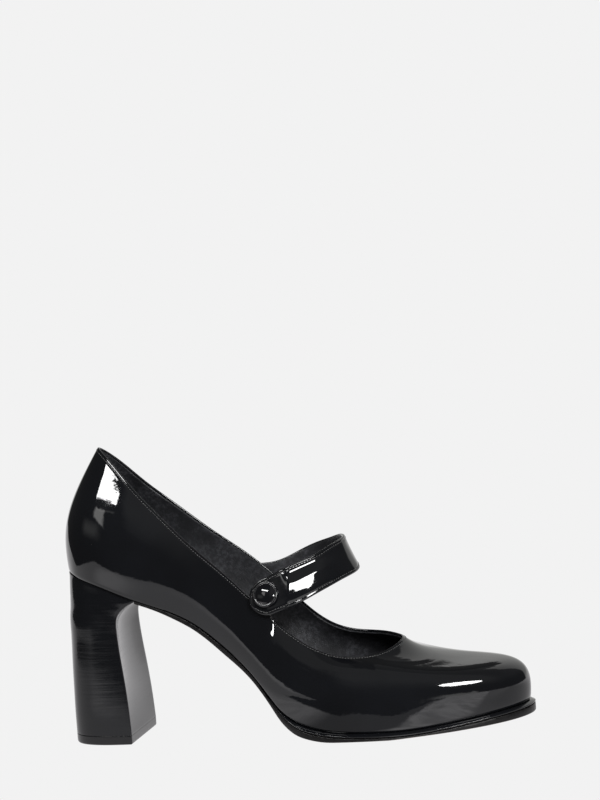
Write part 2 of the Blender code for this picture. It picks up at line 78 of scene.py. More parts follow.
# The last, a row for each section round the foot, outer side then inner side.
# foot x, y: the feather line. wall x, y, z: the side at its fullest. top x, y, z: the topline.
LAST = [
    # section        foot x, y      wall x, y, z          top x, y, z
    ("heel_back",    -14.5, 0.0,    -15.4, 0.0, 107.9,     2.9, 0.0, 142.1),
    ("heel_corner_o", -9.4, -15.5,   -9.0, -17.8, 110.7,   10.2, -9.0, 137.6),
    ("heel_side_o",    3.8, -24.3,    5.6, -26.0, 105.4,   19.8, -15.5, 126.9),
    ("seat_o",        24.7, -26.5,   25.4, -28.0, 93.2,    34.1, -20.0, 112.1),
    ("waist_o",       48.6, -25.0,   48.8, -28.0, 75.9,    52.4, -23.2, 93.9),
    ("arch_o",        74.3, -27.6,   72.5, -30.0, 53.6,    71.8, -25.7, 76.4),
    ("shank_o",       94.1, -33.8,   91.3, -34.0, 37.4,    88.6, -27.2, 59.4),
    ("ball_back_o",  112.0, -37.8,  107.3, -37.5, 33.2,   105.4, -27.3, 45.7),
    ("ball_o",       134.0, -38.4,  128.3, -36.5, 32.9,   121.4, -25.2, 39.0),
    ("vamp_o",       158.0, -35.0,  152.3, -33.5, 33.6,   133.4, -20.6, 38.1),
    ("toe_side_o",   182.0, -27.8,  180.3, -28.6, 33.8,   141.9, -13.5, 39.9),
    ("toe_corner_o", 200.2, -15.5,  201.3, -15.0, 35.6,   145.9, -6.5, 42.1),
    ("toe_tip",      207.2, 3.0,    207.3, 3.0, 36.4,     147.2, 0.0, 43.3),
    ("toe_corner_i", 198.6, 20.0,   199.4, 18.5, 36.5,    145.8, 6.5, 43.4),
    ("toe_side_i",   182.1, 31.0,   180.4, 29.5, 34.3,    141.5, 13.5, 43.5),
    ("vamp_i",       158.1, 36.5,   152.4, 34.5, 35.2,    133.0, 20.8, 43.9),
    ("ball_i",       134.1, 38.0,   128.4, 37.0, 36.5,    121.0, 25.8, 44.3),
    ("ball_back_i",  112.1, 34.5,   107.5, 37.0, 37.8,    105.6, 28.0, 49.0),
    ("shank_i",       94.1, 28.5,    91.5, 33.5, 43.9,     90.7, 28.4, 61.9),
    ("arch_i",        74.4, 23.5,    72.7, 29.5, 60.1,     72.4, 26.2, 80.5),
    ("waist_i",       48.6, 23.5,    48.9, 27.5, 79.4,     52.1, 24.0, 96.3),
    ("seat_i",        24.7, 26.0,    25.6, 28.0, 95.6,     32.7, 21.0, 112.9),
    ("heel_side_i",    3.8, 24.3,     5.7, 26.0, 106.9,    19.3, 16.0, 125.0),
    ("heel_corner_i", -9.5, 15.5,    -9.1, 17.8, 111.0,    10.4, 9.0, 135.9),
]
FOOT_SPRING = 1.0          # the wall swells this far out just over the sole
FOOT_SHARE = 0.42          # height of that swelling, as a share of the wall line's height
COUNTER_ROUND = 1.2        # the quarters round outwards this far between wall line and topline
COUNTER_TO = 60.0          # they do so up to here along the foot, fading over the next length
COUNTER_FADE = 30.0
CROWN_SHARE = 0.52         # place of the crown line between wall line and topline
VAMP_SHARE = 0.76          # and its place along the middle of the vamp, nearer to the throat
VAMP_HOLLOW = 0.30         # how far the vamp dips there, for each millimetre past the next length
HOLLOW_FROM = 18.0         # stretches from wall line to topline shorter than this stay straight
VAMP_LENGTH = 60.0         # the longest of these stretches, toe box to throat
EAR_ROOT = (84.2, -26.9, 64.9)     # a low ear of the outer quarter rises behind the strap's tab
EAR_REACH = (3.4, -1.1, 3.2)
EAR_HALF_WIDTH = 8.8

UPPER_COLUMNS = 640
WALL_ROWS = 78
EDGE_FINE = 4.0            # the patent is modelled finely down to this far below its top edge
EDGE_STEP = 0.25
FOLD_POINTS = 10           # the edge's fold turns over in this many steps
INSIDE_ROWS = 11           # the patent's inner face, which the lining covers, has only this many rows
HEIGHT_SAMPLES = 240       # heights up the wall are measured on this many places
STITCH_DROP = 1.6          # the stitch row runs this far below the edge, in a groove that it has drawn in
STITCH_GROOVE = 0.10
GROOVE_HALF_WIDTH = 0.4
FEATHER_ROLL = 0.45        # the lower edge rolls in this far, over the next height
FEATHER_ROLL_HEIGHT = 1.5


def natural_spline(knots, values, wanted):
    """Cubic through the knots with no bend at its ends."""
    knots = np.asarray(knots, float)
    values = np.asarray(values, float).reshape(len(knots), -1)
    step = np.diff(knots)
    count = len(knots)
    system = np.eye(count)
    right = np.zeros_like(values)
    for i in range(1, count - 1):
        system[i, i - 1:i + 2] = step[i - 1], 2.0 * (step[i - 1] + step[i]), step[i]
        rise = (values[i + 1] - values[i]) / step[i] - (values[i] - values[i - 1]) / step[i - 1]
        right[i] = 6.0 * rise
    bend = np.linalg.solve(system, right)
    wanted = np.atleast_1d(np.asarray(wanted, float))
    i = np.clip(np.searchsorted(knots, wanted) - 1, 0, count - 2)
    width = step[i][:, None]
    b = ((wanted - knots[i])[:, None]) / width
    a = 1.0 - b
    curve = a * values[i] + b * values[i + 1]
    return curve + ((a**3 - a) * bend[i] + (b**3 - b) * bend[i + 1]) * width**2 / 6.0


def along(table, x):
    """Height read from a table of x, z at one or many places."""
    table = np.array(table, float)
    return natural_spline(table[:, 0], table[:, 1], x)[:, 0]


def feather_height(x, below=0.0):
    """Height of the feather line, less a thickness measured square to its slope."""
    x = np.asarray(x, float)
    slope = (along(FEATHER_PROFILE, x + 0.5) - along(FEATHER_PROFILE, x - 0.5))
    return along(FEATHER_PROFILE, x) - below * np.sqrt(1.0 + slope**2)


def uniform_basis(t, count):
    """Weights of the closed uniform cubic B-spline's points at t in 0..1."""
    place = np.asarray(t) % 1.0 * count
    cell = np.floor(place).astype(int)
    f = place - cell
    weights = np.zeros((len(cell), count))
    parts = [(1 - f)**3, 3 * f**3 - 6 * f**2 + 4, -3 * f**3 + 3 * f**2 + 3 * f + 1, f**3]
    rows = np.arange(len(cell))
    for offset, part in enumerate(parts):
        weights[rows, (cell + offset) % count] += part / 6.0
    return weights


def fair_loop(t, points, wanted, count=48, stiffness=2e-5):
    """Closed curve near the points with evenly changing bend, read at the wanted places."""
    base = uniform_basis(t, count)
    third = np.zeros((count, count))
    for i in range(count):
        for offset, weight in enumerate((-1.0, 3.0, -3.0, 1.0)):
            third[i, (i + offset) % count] += weight
    penalty = stiffness * count**2 * third.T @ third
    control = np.linalg.solve(base.T @ base + penalty + 1e-9 * np.eye(count), base.T @ points)
    return uniform_basis(wanted, count) @ control


def clamped_basis(v, count):
    """Weights of a clamped cubic B-spline's points at v in 0..1."""
    v = np.clip(np.asarray(v, float), 0.0, 1.0 - 1e-9)
    knots = np.concatenate([np.zeros(3), np.linspace(0.0, 1.0, count - 2), np.ones(3)])
    table = [((v >= knots[i]) & (v < knots[i + 1])).astype(float) for i in range(len(knots) - 1)]
    for degree in (1, 2, 3):
        raised = []
        for i in range(len(knots) - 1 - degree):
            total = np.zeros_like(v)
            left = knots[i + degree] - knots[i]
            right = knots[i + degree + 1] - knots[i + 1]
            if left > 0:
                total = total + (v - knots[i]) / left * table[i]
            if right > 0:
                total = total + (knots[i + degree + 1] - v) / right * table[i + 1]
            raised.append(total)
        table = raised
    return np.array(table).T


def table_lines():
    """The table's three lines round the foot and the place of each of its rows."""
    numbers = np.array([row[1:] for row in LAST])
    lines = (numbers[:, 0:2], numbers[:, 2:5], numbers[:, 5:8])
    stride = sum(np.linalg.norm(np.roll(line, -1, 0) - line, axis=1) for line in lines)
    return np.concatenate([[0.0], np.cumsum(stride)[:-1]]) / stride.sum(), lines


def foot_plan(wanted, nudge=0.002):
    """Plan of the feather line and its unit normals, pointing out, at the wanted places."""
    t, lines = table_lines()
    wanted = np.asarray(wanted, float)
    ahead = fair_loop(t, lines[0], wanted + nudge)
    behind = fair_loop(t, lines[0], wanted - nudge)
    normal = np.column_stack([(ahead - behind)[:, 1], (behind - ahead)[:, 0]])
    return fair_loop(t, lines[0], wanted), normal / np.linalg.norm(normal, axis=1)[:, None]


def last_lines(wanted):
    """The five lines that shape the upper, from feather line to topline, at the wanted places."""
    t, lines = table_lines()
    foot, outward = foot_plan(wanted)
    wall = fair_loop(t, lines[1], wanted)
    top = fair_loop(t, lines[2], wanted)
    feather = np.column_stack([foot, feather_height(foot[:, 0])])
    swell = feather + FOOT_SHARE * (wall - feather)
    swell[:, :2] += FOOT_SPRING * outward
    past = np.maximum(0.0, np.linalg.norm((top - wall)[:, :2], axis=1) - HOLLOW_FROM)
    share = CROWN_SHARE + (VAMP_SHARE - CROWN_SHARE) * past / (VAMP_LENGTH - HOLLOW_FROM)
    crown = wall + share[:, None] * (top - wall)
    crown[:, 2] -= VAMP_HOLLOW * past
    rounding = np.clip((COUNTER_TO - foot[:, :1]) / COUNTER_FADE, 0.0, 1.0)
    crown[:, :2] += COUNTER_ROUND * rounding * outward
    from_ear = np.linalg.norm(top - np.array(EAR_ROOT), axis=1) / EAR_HALF_WIDTH
    top = top + np.outer(np.maximum(0.0, 1.0 - from_ear**2)**2, EAR_REACH)
    return np.array([feather, swell, wall, crown, top])


def upper_rows(drops, shares, columns=UPPER_COLUMNS, nudge=1e-3):
    """Rows of the upper's outer face, with their normals and their ways up.

    First come shares of the wall's height, from 0 at the lower edge to 1 at the deepest of the drops, and then
    the drops below the top edge. Both lists run upwards.
    """
    wanted = np.arange(columns) / columns
    lines = last_lines(wanted)
    v = np.linspace(0.0, 1.0, HEIGHT_SAMPLES)
    dense = np.einsum("rk,kcx->rcx", clamped_basis(v, len(lines)), lines)
    step = np.linalg.norm(np.diff(dense, axis=0), axis=2)
    height = np.concatenate([np.zeros((1, columns)), np.cumsum(step, axis=0)])
    places = []
    for c in range(columns):
        total = height[-1, c]
        low = np.asarray(shares) * (total - drops[0])
        high = total - np.asarray(drops)
        places.append(np.interp(np.concatenate([low, high]), height[:, c], v))
    places = np.array(places).T

    def surface(place, turn):
        """Points of the outer face at one height place for each row and column, a little further round."""
        shape = last_lines(wanted + turn)
        basis = clamped_basis(place.ravel(), len(shape)).reshape(*place.shape, -1)
        return np.einsum("rck,kcx->rcx", basis, shape)

    points = surface(places, 0.0)
    around = surface(places, nudge) - surface(places, -nudge)
    up = surface(np.minimum(places + nudge, 1.0), 0.0) - surface(np.maximum(places - nudge, 0.0), 0.0)
    normal = np.cross(around, up)
    normal /= np.linalg.norm(normal, axis=2)[:, :, None]
    up /= np.linalg.norm(up, axis=2)[:, :, None]
    return points, normal, up


def ring_faces(rows, columns):
    """Quads between neighbouring closed rings of the same size, each wound to face out."""
    r, c = np.meshgrid(np.arange(rows - 1), np.arange(columns), indexing="ij")
    r, c = r.ravel(), c.ravel()
    d = (c + 1) % columns
    quads = np.stack([r * columns + c, r * columns + d, (r + 1) * columns + d, (r + 1) * columns + c], 1)
    return quads.tolist()


def last_to_first(rows, columns):
    """Quads that join the last of a set of rings back to the first."""
    return [((rows - 1) * columns + i, (rows - 1) * columns + (i + 1) % columns, (i + 1) % columns, i)
            for i in range(columns)]


def riding(name, mesh, replaces):
    """A finished mesh as a piece that rides on the shoe's one body, in the place of one of its parts."""
    piece = bpy.data.objects.new(name, mesh)
    bpy.context.scene.collection.objects.link(piece)
    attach(piece, "root")
    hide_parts(replaces)
    return piece


def shaped(name, points, faces, material, slot, replaces, sharp=50.0):
    """A closed piece of the shoe: its mesh at its place, faces out, in one material."""
    mesh = bpy.data.meshes.new(name)
    mesh.from_pydata((np.asarray(points) * MM).tolist(), [], faces)
    body = bmesh.new()
    body.from_mesh(mesh)
    bmesh.ops.remove_doubles(body, verts=body.verts, dist=1e-7)
    bmesh.ops.recalc_face_normals(body, faces=body.faces)
    body.to_mesh(mesh)
    body.free()
    mesh.shade_smooth()
    mesh.set_sharp_from_angle(angle=math.radians(sharp))
    mesh.materials.append(material)
    return riding(name, mesh, replaces)


def new_group(name, inputs, outputs):
    """An empty shader node group with named number, vector or colour sockets."""
    group = bpy.data.node_groups.new(name, "ShaderNodeTree")
    kinds = {"number": "NodeSocketFloat", "vector": "NodeSocketVector", "colour": "NodeSocketColor"}
    for label, kind, start in inputs:
        socket = group.interface.new_socket(label, in_out="INPUT", socket_type=kinds[kind])
        if start is not None:
            socket.default_value = start
    for label, kind in outputs:
        group.interface.new_socket(label, in_out="OUTPUT", socket_type=kinds[kind])
    return group, group.nodes.new("NodeGroupInput"), group.nodes.new("NodeGroupOutput")


def noise(tree, vector, scale, detail=2.0, roughness=0.5, distortion=0.0):
    """A noise texture's own value at a scale given as a number or a socket."""
    node = tree.nodes.new("ShaderNodeTexNoise")
    node.inputs["Detail"].default_value = detail
    node.inputs["Roughness"].default_value = roughness
    node.inputs["Distortion"].default_value = distortion
    tree.links.new(vector, node.inputs["Vector"])
    if hasattr(scale, "is_output"):
        tree.links.new(scale, node.inputs["Scale"])
    else:
        node.inputs["Scale"].default_value = scale
    return node.outputs["Fac"]


def math_node(tree, operation, a, b=0.5):
    """A maths node on one or two values, each a number or a socket."""
    node = tree.nodes.new("ShaderNodeMath")
    node.operation = operation
    for i, value in enumerate((a, b)):
        if hasattr(value, "is_output"):
            tree.links.new(value, node.inputs[i])
        else:
            node.inputs[i].default_value = value
    return node.outputs[0]


def ranged(tree, value, low, high, to_low, to_high):
    """A value mapped smoothly from one range to another and kept inside it."""
    node = tree.nodes.new("ShaderNodeMapRange")
    node.interpolation_type = "SMOOTHSTEP"
    tree.links.new(value, node.inputs["Value"])
    for label, number in (("From Min", low), ("From Max", high), ("To Min", to_low), ("To Max", to_high)):
        if hasattr(number, "is_output"):
            tree.links.new(number, node.inputs[label])
        else:
            node.inputs[label].default_value = number
    return node.outputs["Result"]


def blend_colours(tree, factor, a, b):
    """A colour between two, each a colour or a socket."""
    node = tree.nodes.new("ShaderNodeMix")
    node.data_type = "RGBA"
    tree.links.new(factor, node.inputs["Factor"])
    for label, value in (("A", a), ("B", b)):
        socket = next(s for s in node.inputs if s.name == label and s.type == "RGBA")
        if hasattr(value, "is_output"):
            tree.links.new(value, socket)
        else:
            socket.default_value = (*value, 1.0)
    return next(s for s in node.outputs if s.type == "RGBA")


def blank_finish(name, depth, strength):
    """A new material with a bump of a depth in millimetres.

    It comes with its tree, its shader, the object's coordinates and the bump's height input.
    """
    material = bpy.data.materials.new(name)
    material.use_nodes = True
    tree = material.node_tree
    shader = tree.nodes["Principled BSDF"]
    place = tree.nodes.new("ShaderNodeTexCoord").outputs["Object"]
    relief = tree.nodes.new("ShaderNodeBump")
    relief.inputs["Strength"].default_value = strength
    relief.inputs["Distance"].default_value = depth * MM
    tree.links.new(relief.outputs["Normal"], shader.inputs["Normal"])
    return material, tree, shader, place, relief.inputs["Height"]


def dress(tree, shader, relief, height, colour, roughness):
    """Links the three values of a look: the bump's height, the colour and the roughness."""
    tree.links.new(height, relief)
    tree.links.new(colour, shader.inputs["Base Color"])
    tree.links.new(roughness, shader.inputs["Roughness"])


def skinned(tree, place, group, **settings):
    """A node of a look's group at the object's coordinates, with its own settings."""
    skin = tree.nodes.new("ShaderNodeGroup")
    skin.node_tree = group
    for label, value in settings.items():
        skin.inputs[label.replace("_", " ").title()].default_value = value
    tree.links.new(place, skin.inputs["Vector"])
    return skin


# The look of lacquered leather, shared by every patent piece: slow waves from the hide, fine orange peel, dust.
lacquer, lacquer_in, lacquer_out = new_group(
    "lacquered_leather",
    [("Vector", "vector", None), ("Wave Scale", "number", 45.0), ("Peel Scale", "number", 420.0),
     ("Peel Share", "number", 0.05), ("Dust", "number", 0.4)],
    [("Height", "number"), ("Colour", "colour"), ("Roughness", "number")])
hide_place = lacquer_in.outputs["Vector"]
waves = noise(lacquer, hide_place, lacquer_in.outputs["Wave Scale"], detail=2.5, roughness=0.45)
peel = noise(lacquer, hide_place, lacquer_in.outputs["Peel Scale"], detail=1.0)
lacquer.links.new(
    math_node(lacquer, "ADD", waves, math_node(lacquer, "MULTIPLY", peel, lacquer_in.outputs["Peel Share"])),
    lacquer_out.inputs["Height"])
specks = lacquer.nodes.new("ShaderNodeTexVoronoi")
specks.inputs["Scale"].default_value = 260.0
lacquer.links.new(hide_place, specks.inputs["Vector"])
near_speck = ranged(lacquer, specks.outputs["Distance"], 0.02, 0.05, 1.0, 0.0)
where_dusty = ranged(lacquer, noise(lacquer, hide_place, 70.0), 0.62, 0.75, 0.0, 1.0)
dust = math_node(lacquer, "MULTIPLY", math_node(lacquer, "MULTIPLY", near_speck, where_dusty),
                 lacquer_in.outputs["Dust"])
cloud = ranged(lacquer, noise(lacquer, hide_place, 30.0, detail=3.0), 0.3, 0.7, 0.0, 1.0)
toned = blend_colours(lacquer, cloud, (0.0045, 0.0048, 0.0058), (0.006, 0.0065, 0.008))
lacquer.links.new(blend_colours(lacquer, dust, toned, (0.16, 0.15, 0.14)), lacquer_out.inputs["Colour"])
smears = ranged(lacquer, noise(lacquer, hide_place, 55.0, detail=4.0, distortion=1.5), 0.35, 0.75, 0.03, 0.075)
lacquer.links.new(math_node(lacquer, "ADD", smears, math_node(lacquer, "MULTIPLY", dust, 0.4)),
                  lacquer_out.inputs["Roughness"])


def lacquered(name, wave_scale, wave_depth, peel_scale=420.0, peel_share=0.05, dust=0.4):
    """A patent leather finish, its waves at a scale in cycles a metre and a depth in millimetres."""
    material, tree, shader, place, relief = blank_finish(name, wave_depth, 1.0)
    skin = skinned(tree, place, lacquer, wave_scale=wave_scale, peel_scale=peel_scale, peel_share=peel_share,
                   dust=dust)
    dress(tree, shader, relief, *skin.outputs)
    for label, value in (("IOR", 1.52), ("Coat Weight", 0.25), ("Coat Roughness", 0.02), ("Coat IOR", 1.5)):
        shader.inputs[label].default_value = value
    return material


patent = lacquered("patent_leather", wave_scale=38.0, wave_depth=0.35)

# The outer face runs up to where the fold begins, then the fold turns over and in, and the inner face runs down.
fold = PATENT / 2.0
edge_drops = np.arange(EDGE_FINE, fold - 1e-6, -EDGE_STEP)
face, face_normal, face_up = upper_rows(edge_drops, np.linspace(0.0, 1.0, WALL_ROWS, endpoint=False))
# The stitching draws nothing in below the finely modelled rows, so their drop only has to be a long one.
drop = np.concatenate([np.full(WALL_ROWS, 3.0 * EDGE_FINE), edge_drops])[:, None, None]
groove = STITCH_GROOVE * np.exp(-((drop - STITCH_DROP) / GROOVE_HALF_WIDTH)**2)
climbed = np.linalg.norm(np.diff(face, axis=0), axis=2).cumsum(axis=0)
climbed = np.concatenate([np.zeros((1, UPPER_COLUMNS)), climbed])[:, :, None]
roll = FEATHER_ROLL * np.maximum(0.0, 1.0 - climbed / FEATHER_ROLL_HEIGHT)**2
outside = face - (groove + roll) * face_normal
turn_centre = face[-1] - fold * face_normal[-1]
turned = [turn_centre + fold * (math.cos(a) * face_normal[-1] + math.sin(a) * face_up[-1])
          for a in np.linspace(0.0, math.pi, FOLD_POINTS + 1)[1:]]
inside_rows = np.linspace(len(face) - 1, 0, INSIDE_ROWS + 1).astype(int)[1:]
inside = [face[i] - PATENT * face_normal[i] for i in inside_rows]
inside[-1][:, 2] = outside[0][:, 2]
rings = list(outside) + turned + inside
faces = ring_faces(len(rings), UPPER_COLUMNS) + last_to_first(len(rings), UPPER_COLUMNS)
shaped("upper_patent", np.concatenate(rings), faces, patent, "patent", "upper")


# -----------------------------------------------------------------------------
# Lining
# Thin unlacquered black leather, cemented to the inside of the patent and trimmed just under its folded edge.
# It is finely grained, and a little paler than the patent where the hide has stretched over the last.
# -----------------------------------------------------------------------------
LINING_LOWER = 1.1         # its cut edge lies this far below the topline
LINING_DROPS = [4.0, 3.0, 2.4, 1.8, LINING_LOWER + 0.2, LINING_LOWER]    # its rows near the edge
LINING_EDGE = 0.25         # the cut edge swells up by this much
LINING_COLUMNS = 480
LINING_ROWS = 60
LINING_AIR = 0.04          # left between patent and lining

grain, grain_in, grain_out = new_group(
    "leather_grain",
    [("Vector", "vector", None), ("Cell Scale", "number", 1400.0), ("Dark", "colour", (0.01, 0.01, 0.01, 1.0)),
     ("Light", "colour", (0.04, 0.038, 0.035, 1.0))],
    [("Height", "number"), ("Colour", "colour"), ("Roughness", "number")])
skin_place = grain_in.outputs["Vector"]
cells = grain.nodes.new("ShaderNodeTexVoronoi")
cells.feature = "DISTANCE_TO_EDGE"
grain.links.new(skin_place, cells.inputs["Vector"])
grain.links.new(grain_in.outputs["Cell Scale"], cells.inputs["Scale"])
pebble = ranged(grain, cells.outputs["Distance"], 0.0, 0.25, 0.0, 1.0)
pores = noise(grain, skin_place, 2600.0, detail=2.0)
mottle = noise(grain, skin_place, 90.0, detail=4.0, roughness=0.6)
speckle = noise(grain, skin_place, 620.0, detail=3.0, roughness=0.65)
grain.links.new(
    math_node(grain, "ADD", pebble, math_node(grain, "MULTIPLY", pores, 0.4)), grain_out.inputs["Height"])
paler = math_node(grain, "MULTIPLY", ranged(grain, mottle, 0.35, 0.68, 0.0, 1.0),
                  math_node(grain, "ADD", math_node(grain, "MULTIPLY", pebble, 0.4), 0.6))
paler = math_node(grain, "MULTIPLY", paler, ranged(grain, speckle, 0.42, 0.62, 0.3, 1.3))
grain.links.new(blend_colours(grain, paler, grain_in.outputs["Dark"], grain_in.outputs["Light"]),
                grain_out.inputs["Colour"])
grain.links.new(ranged(grain, mottle, 0.3, 0.7, 0.62, 0.5), grain_out.inputs["Roughness"])


def grained(name, cell_scale, depth, dark, light):
    """A plain leather finish, its pebbles at a scale in cycles a metre and a depth in millimetres."""
    material, tree, shader, place, relief = blank_finish(name, depth, 0.7)
    skin = skinned(tree, place, grain, cell_scale=cell_scale, dark=(*dark, 1.0), light=(*light, 1.0))
    dress(tree, shader, relief, *skin.outputs)
    shader.inputs["Specular IOR Level"].default_value = 0.5
    return material


lining_leather = grained("lining_leather", cell_scale=1300.0, depth=0.09, dark=(0.009, 0.0095, 0.0115),
                         light=(0.046, 0.047, 0.053))
wall_face, wall_normal, wall_up = upper_rows(LINING_DROPS, np.linspace(0.0, 1.0, LINING_ROWS, endpoint=False),
                                             LINING_COLUMNS)
outer_skin = wall_face - (PATENT + LINING_AIR) * wall_normal
inner_skin = wall_face - WALL * wall_normal
middle_edge = (outer_skin[-1] + inner_skin[-1]) / 2.0 + LINING_EDGE * wall_up[-1]
outer_skin[0][:, 2] = inner_skin[0][:, 2] = wall_face[0][:, 2]
# Its hidden side needs only every fourth row.
rings = list(outer_skin[::4]) + [outer_skin[-1], middle_edge] + list(inner_skin[::-1])
faces = ring_faces(len(rings), LINING_COLUMNS) + last_to_first(len(rings), LINING_COLUMNS)
shaped("upper_lining", np.concatenate(rings), faces, lining_leather, "insole", "upper")


# -----------------------------------------------------------------------------
# Topline stitching
# One row of black waxed thread joins the fold and the lining all round the topline, drawn a little into the
# patent. It is laid along the edge by a tree that sets one short spindle of thread for each stitch.
# -----------------------------------------------------------------------------
THREAD = 0.36              # thickness of the thread
STITCH = 1.05              # length of one stitch
STITCH_PITCH = 1.35        # from one stitch to the next
STITCH_SLANT = 0.05        # radians that each stitch is turned from the row
STITCH_RISE = 0.3          # its middle stands over the leather by this share of the thread

thread_finish, tree, shader, place, relief = blank_finish("waxed_thread", 0.05, 0.6)
ply_and_sheen = noise(tree, place, 1800.0, detail=1.0)
# Along its ply the black thread's colour rises to a pale grey: a painted sheen. The ply also gives bump and
# roughness.
dress(tree, shader, relief, ply_and_sheen, blend_colours(tree, ply_and_sheen, (0.03, 0.03, 0.033), (0.15, 0.148, 0.145)),
      ranged(tree, ply_and_sheen, 0.3, 0.7, 0.2, 0.42))

stitcher = bpy.data.node_groups.new("stitch_row", "GeometryNodeTree")
stitcher.interface.new_socket("Geometry", in_out="INPUT", socket_type="NodeSocketGeometry")
for label in ("Pitch", "Stitch Length", "Thread", "Slant"):
    stitcher.interface.new_socket(label, in_out="INPUT", socket_type="NodeSocketFloat")
stitcher.interface.new_socket("Geometry", in_out="OUTPUT", socket_type="NodeSocketGeometry")
given = stitcher.nodes.new("NodeGroupInput")
made = stitcher.nodes.new("NodeGroupOutput")
line = stitcher.nodes.new("GeometryNodeMeshToCurve")
dots = stitcher.nodes.new("GeometryNodeCurveToPoints")
dots.mode = "LENGTH"
spindle = stitcher.nodes.new("GeometryNodeMeshUVSphere")
spindle.inputs["Segments"].default_value = 6
spindle.inputs["Rings"].default_value = 6
spindle.inputs["Radius"].default_value = 0.5
sized = stitcher.nodes.new("ShaderNodeCombineXYZ")
stretched = stitcher.nodes.new("GeometryNodeTransform")
slanted = stitcher.nodes.new("FunctionNodeRotateRotation")
slanted.rotation_space = "LOCAL"
slant_angle = stitcher.nodes.new("ShaderNodeCombineXYZ")
placed = stitcher.nodes.new("GeometryNodeInstanceOnPoints")
real = stitcher.nodes.new("GeometryNodeRealizeInstances")
smooth = stitcher.nodes.new("GeometryNodeSetShadeSmooth")
coloured = stitcher.nodes.new("GeometryNodeSetMaterial")
coloured.inputs["Material"].default_value = thread_finish
for source, target in (
        (given.outputs["Geometry"], line.inputs["Mesh"]),
        (line.outputs["Curve"], dots.inputs["Curve"]),
        (given.outputs["Pitch"], dots.inputs["Length"]),
        (given.outputs["Thread"], sized.inputs["X"]),
        (given.outputs["Thread"], sized.inputs["Y"]),
        (given.outputs["Stitch Length"], sized.inputs["Z"]),
        (spindle.outputs["Mesh"], stretched.inputs["Geometry"]),
        (sized.outputs["Vector"], stretched.inputs["Scale"]),
        (given.outputs["Slant"], slant_angle.inputs["X"]),
        (dots.outputs["Rotation"], slanted.inputs["Rotation"]),
        (slant_angle.outputs["Vector"], slanted.inputs["Rotate By"]),
        (dots.outputs["Points"], placed.inputs["Points"]),
        (stretched.outputs["Geometry"], placed.inputs["Instance"]),
        (slanted.outputs["Rotation"], placed.inputs["Rotation"]),
        (placed.outputs["Instances"], real.inputs["Geometry"]),
        (real.outputs["Geometry"], smooth.inputs["Geometry"]),
        (smooth.outputs["Geometry"], coloured.inputs["Geometry"]),
        (coloured.outputs["Geometry"], made.inputs["Geometry"])):
    stitcher.links.new(source, target)


def stitched(name, path, closed, replaces, pitch=STITCH_PITCH, length=STITCH):
    """A row of stitches along a path of points, made by the stitch tree and kept as one plain mesh."""
    guide = bpy.data.meshes.new(name + "_path")
    count = len(path)
    edges = [(i, (i + 1) % count) for i in range(count if closed else count - 1)]
    guide.from_pydata((np.asarray(path) * MM).tolist(), edges, [])
    holder = bpy.data.objects.new(name + "_path", guide)
    bpy.context.scene.collection.objects.link(holder)
    modifier = holder.modifiers.new("stitches", "NODES")
    modifier.node_group = stitcher
    sizes = {"Pitch": pitch * MM, "Stitch Length": length * MM, "Thread": THREAD * MM, "Slant": STITCH_SLANT}
    for item in stitcher.interface.items_tree:
        if item.in_out == "INPUT" and item.name in sizes:
            modifier[item.identifier] = sizes[item.name]
    graph = bpy.context.evaluated_depsgraph_get()
    mesh = bpy.data.meshes.new_from_object(holder.evaluated_get(graph), depsgraph=graph)
    bpy.data.objects.remove(holder)
    mesh.name = name
    return riding(name, mesh, replaces)


row_at = int(np.argmin(np.abs(edge_drops - STITCH_DROP))) + WALL_ROWS
stitch_line = outside[row_at] + STITCH_RISE * THREAD * face_normal[row_at]
stitched("topline_stitches", stitch_line, True, "upper")


# -----------------------------------------------------------------------------
# Insole sock
# A padded sock of the lining's leather, cemented over the insole board from heel to toe. It dips a little along
# the middle of the tread and its rim turns down against the lining.
# -----------------------------------------------------------------------------
INSOLE = 2.4               # board and sock together
INSOLE_DISH = 0.7
SOCK_UNDER = 0.03          # its underside lies this far below the feather line
SOCK_RIM = [(0.0, 0.6), (0.1, 0.85), (0.4, 1.0)]    # how far in, and which share of its thickness up
SOCK_SHARES = (0.06, 0.14, 0.24, 0.36, 0.5, 0.64, 0.78, 0.9, 1.0)   # its top's rings, from rim to middle
STATIONS = 200
PLACES_TRIED = 8001


def facing_places(first_x=None, count=STATIONS):
    """Places round the foot in pairs that face each other: outer side, toe tip, inner side, the heel's back."""
    fine = np.linspace(0.0, 1.0, PLACES_TRIED)
    x = foot_plan(fine)[0][:, 0]
    tip = np.argmax(x)
    bow = 0.5 - 0.5 * np.cos(np.pi * np.linspace(0.0, 1.0, count + 1))
    low = x.min() if first_x is None else first_x
    stations = low + (x.max() - low) * bow
    inner_stations = stations[1:-1]
    if first_x is not None:
        inner_stations = stations[:-1]
    outer = np.interp(inner_stations, np.maximum.accumulate(x[:tip]), fine[:tip])
    inner = np.interp(inner_stations, np.maximum.accumulate(x[:tip:-1]), fine[:tip:-1])
    back = [0.0] if first_x is None else []
    return np.concatenate([outer, [fine[tip]], inner[::-1], back])


def foot_line(wanted, offset):
    """The feather line in plan, moved out by the offset at each place."""
    foot, outward = foot_plan(wanted)
    return foot + outward * np.reshape(offset, (-1, 1))


def level(ring, z):
    """A ring in plan raised to its heights."""
    return np.column_stack([ring, z])


def under_feather(ring, below):
    """A ring in plan laid at a depth under the feather line."""
    return level(ring, feather_height(ring[:, 0], below))


def towards_middle(ring, share):
    """A ring drawn in, at each station, towards the line half way between its two sides."""
    partner = np.concatenate([ring[-2::-1], ring[-1:]]) if len(ring) % 2 == 0 else ring[::-1]
    return ring + share * ((ring + partner) / 2.0 - ring)


